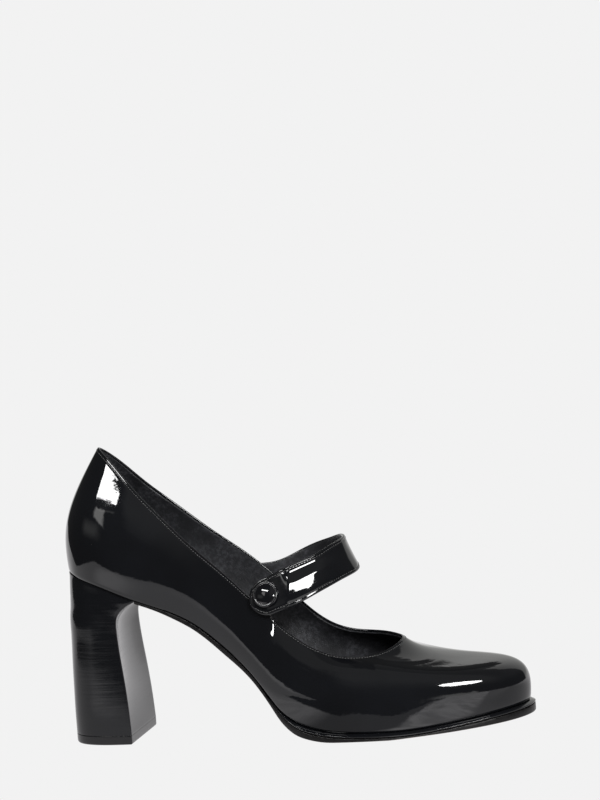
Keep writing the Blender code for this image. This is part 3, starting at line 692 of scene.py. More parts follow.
sock_leather = grained("sock_leather", cell_scale=1100.0, depth=0.06, dark=(0.008, 0.0085, 0.0105),
                       light=(0.028, 0.029, 0.033))
places = facing_places()
rim = foot_line(places, -WALL - GAP)
rings = [under_feather(rim, SOCK_UNDER)]
for inset, lift in SOCK_RIM:
    rings.append(under_feather(foot_line(places, -WALL - GAP - inset), -INSOLE * lift))
sock_edge = rings[-1]
for share in SOCK_SHARES:
    ring = towards_middle(sock_edge, share)
    ring[:, 2] = feather_height(ring[:, 0], -INSOLE) - INSOLE_DISH * math.sin(share * math.pi / 2.0)**2
    rings.append(ring)
size = len(places)
faces = ring_faces(len(rings), size)
sock_under = towards_middle(rings[0], 1.0)
faces += [(i, (i + 1) % size, len(rings) * size + (i + 1) % size, len(rings) * size + i) for i in range(size)]
shaped("insole_sock", np.concatenate(rings + [sock_under]), faces, sock_leather, "insole", "insole")


# -----------------------------------------------------------------------------
# Outsole
# Firm sole leather, cut to the last, with a blackened and waxed edge. It runs from the heel's breast down the
# arch to the toe; behind the welt its edge stays inside the upper, and its lower corner is rubbed back to tan.
# -----------------------------------------------------------------------------
WELT_LEDGE = 2.2           # the welt stands this far out from the upper
WELT_HEIGHT = 1.8
WELT_WIDTH = 5.5
WELT_FROM = 86.0           # the welt tapers in from here, over the next length
WELT_RUN = 18.0
WELT_THIN = 0.5
EDGE_INSET = -0.6          # behind the welt the sole's edge stays inside the upper
REBATE_RUN = 6.0           # the sole's rebate for the welt starts this far behind it
REBATE_LEAST = 0.05
SOLE_BACK = 22.2           # the outsole starts here, at the heel's breast
BALL_FLAT = (117.0, 144.0)  # the flat spot under the ball, from and to
RUBBED_UP = 0.5            # the lower corner is rubbed back to tan up to this height
# The sole's edge: how far out, and the height over its underside, or the depth under the welt's rebate.
SOLE_EDGE_LOW = [(-1.6, 0.0), (-0.75, 0.06), (-0.35, 0.22), (-0.14, 0.45), (-0.06, 0.75)]
SOLE_EDGE_HIGH = [(-0.06, 0.3), (-0.16, 0.08), (-0.4, 0.0), (-WELT_WIDTH - GAP, 0.0)]

# Underside of the sole along the foot: x, z.
SOLE_PROFILE = [
    (20, 68.7), (32, 64.1), (41, 59.5), (50, 54.0), (58, 47.5), (65, 41.1), (72, 34.8), (77, 29.6),
    (82, 23.2), (86, 17.3), (90, 11.2), (94, 6.9), (98, 4.1), (103, 2.1), (108, 0.9), (113, 0.2), (118, 0.0),
    (124, 0.0), (136, 0.0), (144, 0.0), (152, 0.5), (168, 1.6), (189, 3.3), (210, 5.0),
]


def ground_height(x):
    """Height of the sole's underside, flat under the ball of the foot."""
    x = np.asarray(x, float)
    flat = (x > BALL_FLAT[0]) & (x < BALL_FLAT[1])
    return np.where(flat, 0.0, np.maximum(0.0, along(SOLE_PROFILE, x)))


def smooth_share(value, low, high):
    """0 below one value, 1 above another, and a smooth rise between them."""
    share = np.clip((value - low) / (high - low), 0.0, 1.0)
    return share**2 * (3.0 - 2.0 * share)


def welt_share(x):
    """How far the welt has grown to its full size, 0 to 1."""
    return smooth_share(x, WELT_FROM, WELT_FROM + WELT_RUN)


def ledge(x):
    """How far the sole's edge stands out from the upper."""
    return EDGE_INSET + (WELT_LEDGE - EDGE_INSET) * welt_share(x)


def welt_height(x):
    """Thickness of the welt, which tapers out at the arch."""
    return WELT_THIN + (WELT_HEIGHT - WELT_THIN) * welt_share(x)


def rebate(x):
    """Depth of the step in the sole's edge that takes the welt."""
    share = np.clip((x - WELT_FROM) / REBATE_RUN + 1.0, 0.0, 1.0)
    return REBATE_LEAST + share * (GAP + welt_height(x) - REBATE_LEAST)


def drawn_out(tree, place, scale, turned=0.0):
    """Coordinates that draw a texture out along the axes whose scale is small."""
    node = tree.nodes.new("ShaderNodeMapping")
    node.inputs["Scale"].default_value = scale
    node.inputs["Rotation"].default_value = (0.0, 0.0, math.radians(turned))
    tree.links.new(place, node.inputs["Vector"])
    return node.outputs["Vector"]


sole_leather, tree, shader, place, relief = blank_finish("waxed_sole", 0.06, 0.7)
corner_mark = tree.nodes.new("ShaderNodeAttribute")
corner_mark.attribute_name = "rubbed"
fibre = noise(tree, place, 380.0, detail=5.0, roughness=0.65)
wheel_marks = noise(tree, drawn_out(tree, place, (0.06, 0.06, 1.0)), 1500.0, detail=2.0)
black_edge = blend_colours(tree, fibre, (0.004, 0.004, 0.0045), (0.012, 0.011, 0.011))
tan_face = blend_colours(tree, fibre, (0.055, 0.03, 0.016), (0.13, 0.075, 0.042))
uneven = math_node(tree, "MULTIPLY", math_node(tree, "SUBTRACT", fibre, 0.5), 0.5)
worn = ranged(tree, math_node(tree, "ADD", corner_mark.outputs["Fac"], uneven), 0.35, 0.65, 0.0, 1.0)
dress(tree, shader, relief, math_node(tree, "ADD", wheel_marks, fibre),
      blend_colours(tree, worn, black_edge, tan_face), ranged(tree, fibre, 0.3, 0.7, 0.24, 0.42))
shader.inputs["Specular IOR Level"].default_value = 0.3

places = facing_places(SOLE_BACK)
stand = ledge(foot_line(places, 0.0)[:, 0])
rings = []
for out, rise in SOLE_EDGE_LOW:
    ring = foot_line(places, stand + out)
    rings.append(level(ring, ground_height(ring[:, 0]) + rise))
for out, depth in SOLE_EDGE_HIGH:
    ring = foot_line(places, stand + out)
    rings.append(under_feather(ring, GAP + rebate(ring[:, 0]) + depth))
rings.append(under_feather(ring, GAP))
size = len(places)


def capped(start):
    """Strips across a ring whose first and last points face each other."""
    strips = [(start + i, start + i + 1, start + size - 2 - i, start + size - 1 - i) for i in range(size // 2 - 1)]
    middle = start + size // 2
    return strips + ([(middle - 1, middle, middle + 1)] if size % 2 else [])


faces = ring_faces(len(rings), size) + capped(0) + capped((len(rings) - 1) * size)
outsole_leather = shaped("outsole_leather", np.concatenate(rings), faces, sole_leather, "outsole", "outsole")
rubbed = outsole_leather.data.attributes.new("rubbed", "FLOAT", "POINT")
heights = np.array([v.co for v in outsole_leather.data.vertices]) / MM
low_share = 1.0 - np.clip((heights[:, 2] - ground_height(heights[:, 0])) / RUBBED_UP, 0.0, 1.0)
rubbed.data.foreach_set("value", low_share.astype(np.float32))


# -----------------------------------------------------------------------------
# Welt
# A strip of black leather laid on the sole's rim and run round the forefoot. Its top is creased beside the upper
# by a heated iron, and its edge is rounded and waxed with the sole.
# -----------------------------------------------------------------------------
WELT_STATIONS = 170
# Cross-section: how far out in millimetres, and how far up as a share of its height.
WELT_SECTION = [
    (-WELT_WIDTH, 0.0), (-0.8, 0.0), (-0.35, 0.03), (-0.12, 0.1), (-0.02, 0.19), (0.0, 0.3), (-0.02, 0.36),
    (-0.1, 0.42), (-0.25, 0.47), (-0.6, 0.58), (-1.0, 0.7), (-1.4, 0.82), (-1.75, 0.91), (-1.95, 0.93),
    (-2.15, 0.9), (-2.4, 0.96), (-3.2, 1.0), (-WELT_WIDTH, 1.0),
]


def tube_faces(rows, count):
    """Quads of a closed section carried along a line, with a face over each end."""
    end = (rows - 1) * count
    return ring_faces(rows, count) + [tuple(range(count))[::-1], tuple(range(end, end + count))]


welt_leather = lacquered("waxed_welt", wave_scale=120.0, wave_depth=0.08, peel_scale=900.0, peel_share=0.1,
                         dust=0.7)
welt_places = facing_places(WELT_FROM, WELT_STATIONS)
welt_stand = ledge(foot_line(welt_places, 0.0)[:, 0])
columns = []
for out, up in WELT_SECTION:
    strip = foot_line(welt_places, welt_stand + out)
    columns.append(under_feather(strip, GAP + (1.0 - up) * welt_height(strip[:, 0])))
welt_rings = np.array(columns).transpose(1, 0, 2)
faces = tube_faces(len(welt_rings), len(WELT_SECTION))
shaped("welt_strip", welt_rings.reshape(-1, 3), faces, welt_leather, "welt", "welt", sharp=60.0)


# -----------------------------------------------------------------------------
# Heel
# A moulded block, sanded in rings and sprayed with black lacquer, screwed up into the seat. Its breast is hollow
# and sweeps forward into the arch; fine sanding lines run level round its sides under the gloss.
# -----------------------------------------------------------------------------
# A row for each level: height at the breast, breast x, back x, half width, roundness, hollow.
HEEL = [
    (4.7, 16.4, -15.3, 26.3, 2.9, 0.0),
    (12.3, 16.0, -15.4, 26.0, 2.9, 0.6),
    (24.3, 15.1, -15.4, 25.4, 2.8, 1.2),
    (36.4, 13.8, -15.3, 24.8, 2.7, 1.6),
    (48.4, 12.5, -15.1, 24.3, 2.6, 1.8),
    (54.4, 12.1, -15.0, 24.1, 2.6, 1.9),
    (58.9, 12.1, -14.6, 24.1, 2.5, 1.8),
    (61.9, 12.8, -14.4, 24.1, 2.5, 1.5),
    (64.4, 14.6, -14.3, 24.2, 2.5, 1.1),
    (66.5, 17.3, -14.2, 24.3, 2.5, 0.6),
    (68.0, 20.0, -14.1, 24.4, 2.5, 0.2),
    (68.6, 21.6, -14.1, 24.4, 2.5, 0.0),
    (70.5, 21.7, -14.1, 24.4, 2.5, 0.0),
]
HEEL_CORNER = 0.45         # radius of the edge between side and breast
HEEL_EDGE = 0.12           # its lower edge is eased by this much
HEEL_FOOT = 4.44           # the block ends this high, on its top piece
HEEL_LEVELS = 90
SIDE_POINTS = 60
CORNER_POINTS = 8
BREAST_POINTS = 16

heel_lacquer, tree, shader, place, relief = blank_finish("heel_lacquer", 0.03, 1.0)
skin = skinned(tree, place, lacquer, wave_scale=30.0, dust=0.5)
sanding = drawn_out(tree, place, (0.03, 0.03, 1.0))
lines_fine = noise(tree, sanding, 1300.0, detail=3.0, roughness=0.6)
lines_wide = noise(tree, sanding, 260.0, detail=2.0)
sanded = math_node(tree, "ADD", math_node(tree, "MULTIPLY", lines_fine, 0.35), lines_wide)
rougher = ranged(tree, lines_fine, 0.35, 0.7, 0.03, 0.12)
dress(tree, shader, relief, math_node(tree, "ADD", sanded, skin.outputs["Height"]), skin.outputs["Colour"],
      math_node(tree, "ADD", skin.outputs["Roughness"], rougher))
shader.inputs["IOR"].default_value = 1.5


def heel_plan(breast, back, half, roundness, hollow, inset=0.0):
    """Plan of the block heel at one level, from the back round the outer side, breast and inner side."""
    corner = HEEL_CORNER
    breast, back, half = breast - inset, back + inset, half - inset
    angles = np.radians(np.linspace(0.0, 90.0, SIDE_POINTS)[1:])
    depth = breast - corner - back
    side = np.column_stack([breast - corner - depth * np.cos(angles)**(2.0 / roundness),
                            half * np.sin(angles)**(2.0 / roundness)])
    bends = np.radians(np.linspace(0.0, 90.0, CORNER_POINTS + 1)[1:])
    edge = np.column_stack([breast - corner + corner * np.sin(bends), half - corner + corner * np.cos(bends)])
    y = np.linspace(half - corner, 0.0, BREAST_POINTS)[1:]
    front = np.column_stack([breast - hollow * (1.0 - (y / (half - corner))**2), y])
    flank = np.concatenate([side, edge, front])
    mirror = flank[-2::-1]
    return np.concatenate([flank * (1.0, -1.0), mirror, [[back, 0.0]]])


def closed_across(start, count):
    """Strips across a symmetric ring that starts at its back point."""
    strips = [(start, start + 1, start + count - 1)]
    for i in range(1, (count - 1) // 2):
        strips.append((start + i, start + i + 1, start + count - 1 - i, start + count - i))
    if count % 2 == 0:
        middle = start + count // 2
        strips.append((middle - 1, middle, middle + 1))
    return strips


def stacked(rings):
    """Points and faces of a stack of heel plans, closed underneath and on top.

    The plans start beside the back, so their last point, the back itself, is moved to the front of the order.
    """
    points = np.concatenate([np.roll(ring, 1, 0) for ring in rings])
    count = len(rings[0])
    top = (len(rings) - 1) * count
    return points, ring_faces(len(rings), count) + closed_across(0, count) + closed_across(top, count)


heel_table = np.array(HEEL)
spread = np.linspace(0.0, 1.0, HEEL_LEVELS)
above_edge = HEEL_FOOT + HEEL_EDGE
heel_heights = np.concatenate([[HEEL_FOOT, HEEL_FOOT + HEEL_EDGE / 3.0, above_edge],
                               above_edge + (heel_table[-1, 0] - above_edge) * spread[1:]])
rings = []
for height in heel_heights:
    breast, back, half, roundness, hollow = natural_spline(heel_table[:, 0], heel_table[:, 1:], height)[0]
    climb = height - HEEL_FOOT
    inset = HEEL_EDGE * max(0.0, 1.0 - climb / HEEL_EDGE)**2
    ring = heel_plan(breast, back, half, roundness, max(0.0, hollow), inset)
    share = min(1.0, climb / (feather_height(np.array([breast]), GAP)[0] - HEEL_FOOT))
    top = feather_height(ring[:, 0], GAP)
    rings.append(level(ring, HEEL_FOOT + share * (top - HEEL_FOOT)))
shaped("heel_block", *stacked(rings), heel_lacquer, "heel_cover", "heel")


# -----------------------------------------------------------------------------
# Top piece
# The wearing piece of hard black rubber that is nailed under the heel. It is trimmed flush with the block, and its
# dark rubber is almost as glossy, so only a hairline shows all round, and its lower edge is bevelled.
# -----------------------------------------------------------------------------
TOP_PIECE = 4.4            # its thickness
# Its side from the ground up: height, and how far in from the block's own plan.
TOP_PIECE_SIDE = [
    (0.0, 1.0), (0.0, 0.7), (0.12, 0.42), (0.35, 0.2), (0.75, 0.05), (1.2, 0.0), (2.4, 0.0), (3.9, 0.0),
    (4.32, 0.0), (TOP_PIECE, 0.08), (TOP_PIECE, 0.6),
]
rubber, tree, shader, place, relief = blank_finish("hard_rubber", 0.02, 0.8)
buffing = noise(tree, drawn_out(tree, place, (0.1, 0.1, 1.0)), 1400.0, detail=3.0)
crumb = noise(tree, place, 900.0, detail=3.0)
dress(tree, shader, relief, math_node(tree, "ADD", buffing, math_node(tree, "MULTIPLY", crumb, 0.5)),
      blend_colours(tree, crumb, (0.005, 0.005, 0.006), (0.012, 0.012, 0.013)),
      ranged(tree, buffing, 0.3, 0.7, 0.09, 0.2))
plans = [heel_plan(*HEEL[0][1:], inset=inset) for _, inset in TOP_PIECE_SIDE]
rings = [level(plan, np.full(len(plan), height)) for plan, (height, _) in zip(plans, TOP_PIECE_SIDE)]
shaped("heel_lift", *stacked(rings), rubber, "top_piece", "heel_top_piece")


# -----------------------------------------------------------------------------
# Instep strap
# Two layers, patent outside and lining leather inside, with the patent's edges folded in. It is sewn to the
# inner quarter, crosses the instep and ends in a round tab over the outer quarter, where the button holds it.
# -----------------------------------------------------------------------------
# A row for each place along its line: x, y, z, and its reach above and below that line, and its tilt: the
# degrees that its lower edge is turned outwards from upright.
STRAP = [
    # place           x      y      z     above  below  tilt
    ("inner_end",    75.9,  30.05, 65.2,  14.0,  2.0,   8.0),
    ("inner_base",   84.9,  30.2,  69.1,  10.5,  7.6,   8.0),
    ("inner_root",   92.3,  30.5,  72.7,   9.4,  9.2,   9.0),
    ("inner_leg",    99.9,  29.8,  76.6,   9.0,  9.0,  11.0),
    ("inner_rise",  107.4,  27.0,  79.9,   8.7,  8.7,  14.0),
    ("inner_bend",  113.5,  22.5,  82.4,   8.3,  8.3,  17.0),
    ("inner_turn",  119.1,  15.0,  84.8,   8.1,  8.1,  20.0),
    ("front",       123.3,   0.0,  85.4,   7.9,  9.6,  23.5),
    ("outer_turn",  119.2, -15.0,  83.0,   8.2,  9.1,  21.5),
    ("outer_bend",  114.1, -22.5,  80.4,   8.2,  8.7,  19.0),
    ("outer_rise",  108.0, -27.0,  77.7,   8.7,  8.8,  17.0),
    ("outer_leg",   100.9, -29.1,  74.5,   9.1,  9.1,  16.0),
    ("outer_root",   94.1, -29.6,  71.7,   9.1,  9.1,  15.0),
    ("tab",          88.0, -29.6,  69.3,   8.8,  8.8,  15.0),
    ("tab_end",      80.3, -29.6,  65.6,   8.7,  8.7,  15.0),
]
STRAP_THICK = 2.4
PATENT_OVER = 0.1          # the patent layer's face stands this much over that thickness
PATENT_FROM = 0.8          # the patent layer starts, and the lining layer ends, this far from the back
LINING_TO = 0.78
STRAP_ROWS = 300
TAB_ROWS = 44
TAB_TIP = 0.03             # the tab's round end closes on this share of its width
STRAP_CROWN = 0.35         # the outer face stands this much higher along its middle
FRONT_HOLLOW = 0.35        # and over the instep it sinks by this much instead
FRONT_REACH = 17.0
LEAN = 1.05                # the outer leg's upper margin lies this much nearer the foot
LEAN_FROM, LEAN_TO = 0.05, 0.72     # shares of the way from its middle to its edge
LOWER_LEAN = 1.0           # and its lower margin, by the square of the way past the half
LEAN_GROWS = (98.0, 103.0)      # the lean comes in and goes out over these stretches of x
LEAN_FADES = (112.0, 122.0)
SWELL = 1.5                # beside the button the leg stands this much proud, up to a soft ridge
SWELL_FROM = 88.5          # the swell rises from here to the ridge, in x
RIDGE_AT = 99.3
RIDGE_SWEEP = 3.0          # the ridge bends back by this much towards the lower edge
SWELL_RUN = 9.0            # past the ridge the leg falls back over this length
SWELL_ROUND = 0.07         # roundness of the ridge's crest
STRAP_SECTION = 44         # points across a layer's face
STRAP_EDGE_POINTS = 7      # and round each of its edges
LEAST_REACH = 0.05         # a layer reaches at least this far to each side of its line
CROWN_FADE = 6.0           # where the strap's half width is less than this, the crown fades with it
STRAP_STITCH_IN = 1.5      # the stitch rows run this far in from the strap's edges
STRAP_GROOVE_HALF = 0.5    # half width of the groove that they draw in
STRAP_STITCH = 1.15        # length of one of their stitches, and from one to the next
STRAP_PITCH = 1.5
STITCH_SUNK = 0.02         # the thread's middle lies this far under the face
FIRST_STITCHED = 6         # the rows start on this row of the strap's frame
TURN_POINTS = 38           # points of the row's turn in the round end


def strap_frame():
    """Line of the strap with its width and thickness directions, and its reach above and below the line."""
    numbers = np.array([row[1:] for row in STRAP])
    stride = np.linalg.norm(np.diff(numbers[:, :3], axis=0), axis=1)
    place = np.concatenate([[0.0], np.cumsum(stride)])
    radius = numbers[-1, 3]
    straight = place[-1] - radius
    turn = np.sin(np.linspace(0.0, math.pi / 2.0, TAB_ROWS + 1)[1:])
    reach = np.concatenate([np.linspace(0.0, straight, STRAP_ROWS), straight + radius * turn])
    curve = natural_spline(place, numbers, reach)
    middle = curve[:, :3]
    tangent = np.gradient(middle, reach, axis=0)
    tangent /= np.linalg.norm(tangent, axis=1)[:, None]
    tilt = np.radians(curve[:, 5:])
    side = np.cross((0.0, 0.0, 1.0), tangent)
    side /= np.linalg.norm(side, axis=1)[:, None]
    across = np.cos(tilt) * np.cross(side, tangent) + np.sin(tilt) * side
    outward = np.cross(tangent, across)
    past = np.clip((reach - straight) / radius, 0.0, 1.0)
    round_end = np.maximum(np.sqrt(1.0 - past**2), TAB_TIP)
    return middle, across, outward, curve[:, 3:5] * round_end[:, None]


def crown_at(point):
    """How much the strap's outer face stands higher along its middle, by its place round the instep."""
    return STRAP_CROWN - (STRAP_CROWN + FRONT_HOLLOW) * math.exp(-(point[1] / FRONT_REACH)**2)


def bow_at(point, s, x_here):
    """How far the outer leg's face stands out, by its place and its share from the upper edge to the lower."""
    x, y, _ = point
    if y > 0.0:
        return 0.0
    # The leg's upper half leans back to the foot towards its edge, and the lower half does so a little too.
    lean = smooth_share(x, *LEAN_GROWS) * (1.0 - smooth_share(x, *LEAN_FADES))
    back = LEAN * smooth_share(-s, LEAN_FROM, LEAN_TO) + LOWER_LEAN * max(0.0, s - 0.5)**2
    ridge = RIDGE_AT - RIDGE_SWEEP * max(0.0, s - 0.5)
    left = SWELL * max(0.0, (x_here - SWELL_FROM) / (ridge - SWELL_FROM))
    right = SWELL * max(0.0, (ridge + SWELL_RUN - x_here) / SWELL_RUN)**2
    swell = -SWELL_ROUND * math.log(math.exp(-left / SWELL_ROUND) + math.exp(-right / SWELL_ROUND))
    return max(0.0, swell) - lean * back


def layer_ring(row, low, high, edge_in, edge_round, crowned, groove_depth):
    """A layer's outline across one row of the strap's frame: outer face, lower edge, back, then upper edge.

    It lies between two heights over the strap's line, and its edges are drawn in and rounded.
    """
    middle, across, outward, width = row
    above, below = np.maximum(width - edge_in, LEAST_REACH)
    half = (above + below) / 2.0
    shift = (below - above) / 2.0
    soft = min(edge_round, 0.45 * half, 0.5 * (high - low))
    crown = crown_at(middle) if crowned else 0.0
    top = high - max(crown, 0.0)

    def bowed(w, lift, s, bow_w):
        """A point at a distance across the strap and a height over its line, plus the leg's bow."""
        return middle + w * across + (lift + bow_at(middle, s, middle[0] + bow_w * across[0])) * outward

    def face_point(s, back=False):
        """A point of the outer face, or of the back, at a share from the upper edge to the lower."""
        w = s * (half - soft) + shift
        if back:
            return bowed(w, low, s, w)
        from_edge = half - abs(s) * (half - soft)
        dip = groove_depth * math.exp(-((from_edge - STRAP_STITCH_IN) / STRAP_GROOVE_HALF)**2)
        return bowed(w, top + crown * (1.0 - s * s) * min(1.0, half / CROWN_FADE) - dip, s, w)

    def edge_point(side, a):
        """A point round the lower edge, side 1, or the upper edge, side -1, by its angle from the outer face."""
        edge = shift + side * half
        lift = (top + low) / 2.0 + (top - low) / 2.0 * math.cos(a)
        return bowed(edge - side * soft * (1.0 - math.sin(a)), lift, side, edge)

    shares = np.linspace(-1.0, 1.0, STRAP_SECTION)
    turns = np.linspace(0.0, math.pi, STRAP_EDGE_POINTS + 2)[1:-1]
    return ([face_point(s) for s in shares] + [edge_point(1.0, a) for a in turns]
            + [face_point(s, back=True) for s in shares[::-4]] + [edge_point(-1.0, a) for a in turns[::-1]])


def strap_layer(name, material, **layer):
    """One layer of the strap, as one closed skin round all rows of the strap's frame."""
    rings = np.array([layer_ring(row, **layer) for row in zip(*strap_frame())])
    shaped(name, rings.reshape(-1, 3), tube_faces(*rings.shape[:2]), material, "strap_patent", "strap")


strap_lacquer = lacquered("strap_patent_leather", wave_scale=60.0, wave_depth=0.22)
half_thick = STRAP_THICK / 2.0
strap_face = half_thick + PATENT_OVER
strap_layer("strap_patent_layer", strap_lacquer, low=PATENT_FROM - half_thick, high=strap_face,
            edge_in=0.0, edge_round=0.75, crowned=True, groove_depth=0.14)
strap_layer("strap_lining_layer", lining_leather, low=-half_thick, high=LINING_TO - half_thick,
            edge_in=0.35, edge_round=0.3, crowned=False, groove_depth=0.0)

middle, across, outward, width = strap_frame()
half_width = width.sum(axis=1) / 2.0
centre_shift = (width[:, 1] - width[:, 0]) / 2.0
# In the round end the row keeps its distance from the edge, so it turns on a smaller circle.
tab_centre_row = STRAP_ROWS - 1
inner_radius = half_width[tab_centre_row] - STRAP_STITCH_IN
rows_to_tab = np.arange(FIRST_STITCHED, tab_centre_row + 1)


def over_strap(row, w):
    """A point on the strap's outer face at one row and a distance across it."""
    s = (w - centre_shift[row]) / half_width[row]
    crown = crown_at(middle[row])
    rise = strap_face - max(crown, 0.0) + crown * (1.0 - s * s) - STITCH_SUNK
    rise += bow_at(middle[row], s, middle[row][0] + w * across[row][0])
    return middle[row] + w * across[row] + rise * outward[row]


upper_row = [over_strap(i, centre_shift[i] - half_width[i] + STRAP_STITCH_IN) for i in rows_to_tab]
lower_row = [over_strap(i, centre_shift[i] + half_width[i] - STRAP_STITCH_IN) for i in rows_to_tab]
tab_tangent = middle[tab_centre_row + 1] - middle[tab_centre_row]
tab_tangent /= np.linalg.norm(tab_tangent)
turned_row = []
for a in np.linspace(-math.pi / 2.0, math.pi / 2.0, TURN_POINTS + 2)[1:-1]:
    spoke = math.cos(a) * tab_tangent + math.sin(a) * across[tab_centre_row]
    flat = middle[tab_centre_row] + inner_radius * spoke
    lift = strap_face - STITCH_SUNK - STRAP_CROWN * (inner_radius / half_width[tab_centre_row])**2
    nearest = int(np.argmin(np.linalg.norm(middle - flat, axis=1)))
    offset = flat - middle[nearest]
    lift += bow_at(middle[nearest], math.sin(a), flat[0])
    turned_row.append(flat - (offset @ outward[nearest]) * outward[nearest] + lift * outward[nearest])
strap_path = upper_row + turned_row + lower_row[::-1]
stitched("strap_stitches", strap_path, False, "strap", STRAP_PITCH, STRAP_STITCH)


# -----------------------------------------------------------------------------
# Button
# A domed metal button covered with the patent, its rim a rolled ring round the dome. A thread shank under it is
# sewn through the quarter's ear, and the strap's slit closes over it.
# -----------------------------------------------------------------------------
BUTTON_AT = (88.1, -29.6, 70.4)
BUTTON_SIDES = 96
# Radius and height over the strap, from the underside to the dome's crown.
BUTTON = [
    (3.0, 0.0), (5.0, 0.0), (5.7, 0.05), (6.1, 0.22), (6.32, 0.5), (6.38, 0.85), (6.3, 1.15), (6.08, 1.38),
    (5.75, 1.46), (5.45, 1.45), (5.25, 1.38), (5.12, 1.35), (4.98, 1.4), (4.6, 1.6), (4.0, 1.87), (3.2, 2.14),
    (2.4, 2.35), (1.6, 2.5), (0.8, 2.59), (0.0, 2.62),
]
BUTTON_LEAN = 8.0          # degrees that it leans back on its shank
nearest = int(np.argmin(np.linalg.norm(middle - np.array(BUTTON_AT), axis=1)))
lean = math.radians(BUTTON_LEAN)
sideways = np.cross(outward[nearest], across[nearest])
normal = math.cos(lean) * outward[nearest] - math.sin(lean) * across[nearest]
down = math.cos(lean) * across[nearest] + math.sin(lean) * outward[nearest]
offset = np.array(BUTTON_AT) - middle[nearest]
seat = half_thick + GAP + bow_at(middle[nearest], 0.0, BUTTON_AT[0])
centre = np.array(BUTTON_AT) + normal * (seat - offset @ normal)
angles = np.arange(BUTTON_SIDES) * 2.0 * math.pi / BUTTON_SIDES
spokes = np.outer(np.cos(angles), down) + np.outer(np.sin(angles), sideways)
rings = [centre + height * normal + radius * spokes for radius, height in BUTTON]
faces = ring_faces(len(rings), BUTTON_SIDES) + [tuple(range(BUTTON_SIDES))]
button_lacquer = lacquered("button_patent_leather", wave_scale=140.0, wave_depth=0.1)
shaped("button_dome", np.concatenate(rings), faces, button_lacquer, "button_patent", "button", sharp=70.0)


# -----------------------------------------------------------------------------
# Studio
# A pale table that runs back into a pale sweep, in an otherwise dark room: the camera sees only paleness behind
# the shoe, and the patent mirrors the table, the sweep, a leaning screen and two soft lights.
# -----------------------------------------------------------------------------
PALE = 0.888               # what the camera sees behind the shoe
TABLE_HALF = 6.0           # half the table's width, in metres
TABLE_DROP = 0.0001        # it lies this far under the sole, in metres


def glow(tree, kind, colour, strength):
    """An emission or background shader whose strength is a number or a socket."""
    node = tree.nodes.new("ShaderNode" + kind)
    node.inputs["Color"].default_value = (*colour, 1.0)
    if hasattr(strength, "is_output"):
        tree.links.new(strength, node.inputs["Strength"])
    else:
        node.inputs["Strength"].default_value = strength
    return node.outputs[kind]


def by_ray(tree, output, mirrored, seen):
    """One shader for the camera's own rays and another for all the others."""
    mix = tree.nodes.new("ShaderNodeMixShader")
    tree.links.new(tree.nodes.new("ShaderNodeLightPath").outputs["Is Camera Ray"], mix.inputs["Fac"])
    tree.links.new(mirrored, mix.inputs[1])
    tree.links.new(seen, mix.inputs[2])
    tree.links.new(mix.outputs["Shader"], output.inputs["Surface"])


def split(tree, vector):
    """The three parts of a vector."""
    node = tree.nodes.new("ShaderNodeSeparateXYZ")
    tree.links.new(vector, node.inputs["Vector"])
    return node.outputs


table_finish = bpy.data.materials.new("pale_table")
table_finish.use_nodes = True
tree = table_finish.node_tree
tree.nodes.remove(tree.nodes["Principled BSDF"])
place = tree.nodes.new("ShaderNodeTexCoord").outputs["Object"]
x, y, _ = split(tree, place)


def window(value, low, high, soft):
    """1 between two values and 0 outside them, with soft edges."""
    return math_node(tree, "MULTIPLY", ranged(tree, value, low - soft, low + soft, 0.0, 1.0),
                     ranged(tree, value, high - soft, high + soft, 1.0, 0.0))


def times(*values):
    """The product of several values."""
    product = values[0]
    for value in values[1:]:
        product = math_node(tree, "MULTIPLY", product, value)
    return product


def total(*values):
    """The sum of several values."""
    added = values[0]
    for value in values[1:]:
        added = math_node(tree, "ADD", added, value)
    return added


def away(u, v):
    """Distance of a place on the table from a point, in metres."""
    du, dv = math_node(tree, "SUBTRACT", x, u), math_node(tree, "SUBTRACT", y, v)
    return math_node(tree, "SQRT", total(times(du, du), times(dv, dv)))


def beyond(value, start):
    """How far a value is past its start, or 0."""
    return math_node(tree, "MAXIMUM", math_node(tree, "SUBTRACT", value, start), 0.0)


# The table glows, so the light and shade that the shoe mirrors from it are painted, laid out in x and y, in
# metres: where the table ends at the front and at the heel's side, a painted shadow between heel and ball, painted
# pools of light by the quarter, the toe and the ball, the last two mottled by painted crease shading, painted
# shade beyond the toe, and painted light behind the shoe.
crease_shading = noise(tree, drawn_out(tree, place, (1.0, 0.12, 1.0), -14.0), 130.0, detail=3.0, distortion=0.4)
front_side = ranged(tree, y, -0.01, 0.03, 1.0, 0.0)
front_edge = total(times(window(x, 0.005, 0.115, 0.012), 0.235), times(beyond(x, 0.2), -3.0), -0.35)
on_table = times(ranged(tree, math_node(tree, "SUBTRACT", y, front_edge), -0.008, 0.008, 0.0, 1.0),
                 ranged(tree, total(x, beyond(y, 0.05)), -0.41, -0.39, 0.0, 1.0))
toe_side = total(x, times(y, 0.33), -0.126)
in_shade = times(ranged(tree, x, 0.08, 0.1, 0.0, 1.0), ranged(tree, toe_side, -0.006, 0.006, 1.0, 0.0),
                 ranged(tree, y, -0.05, -0.035, 1.0, 0.0))
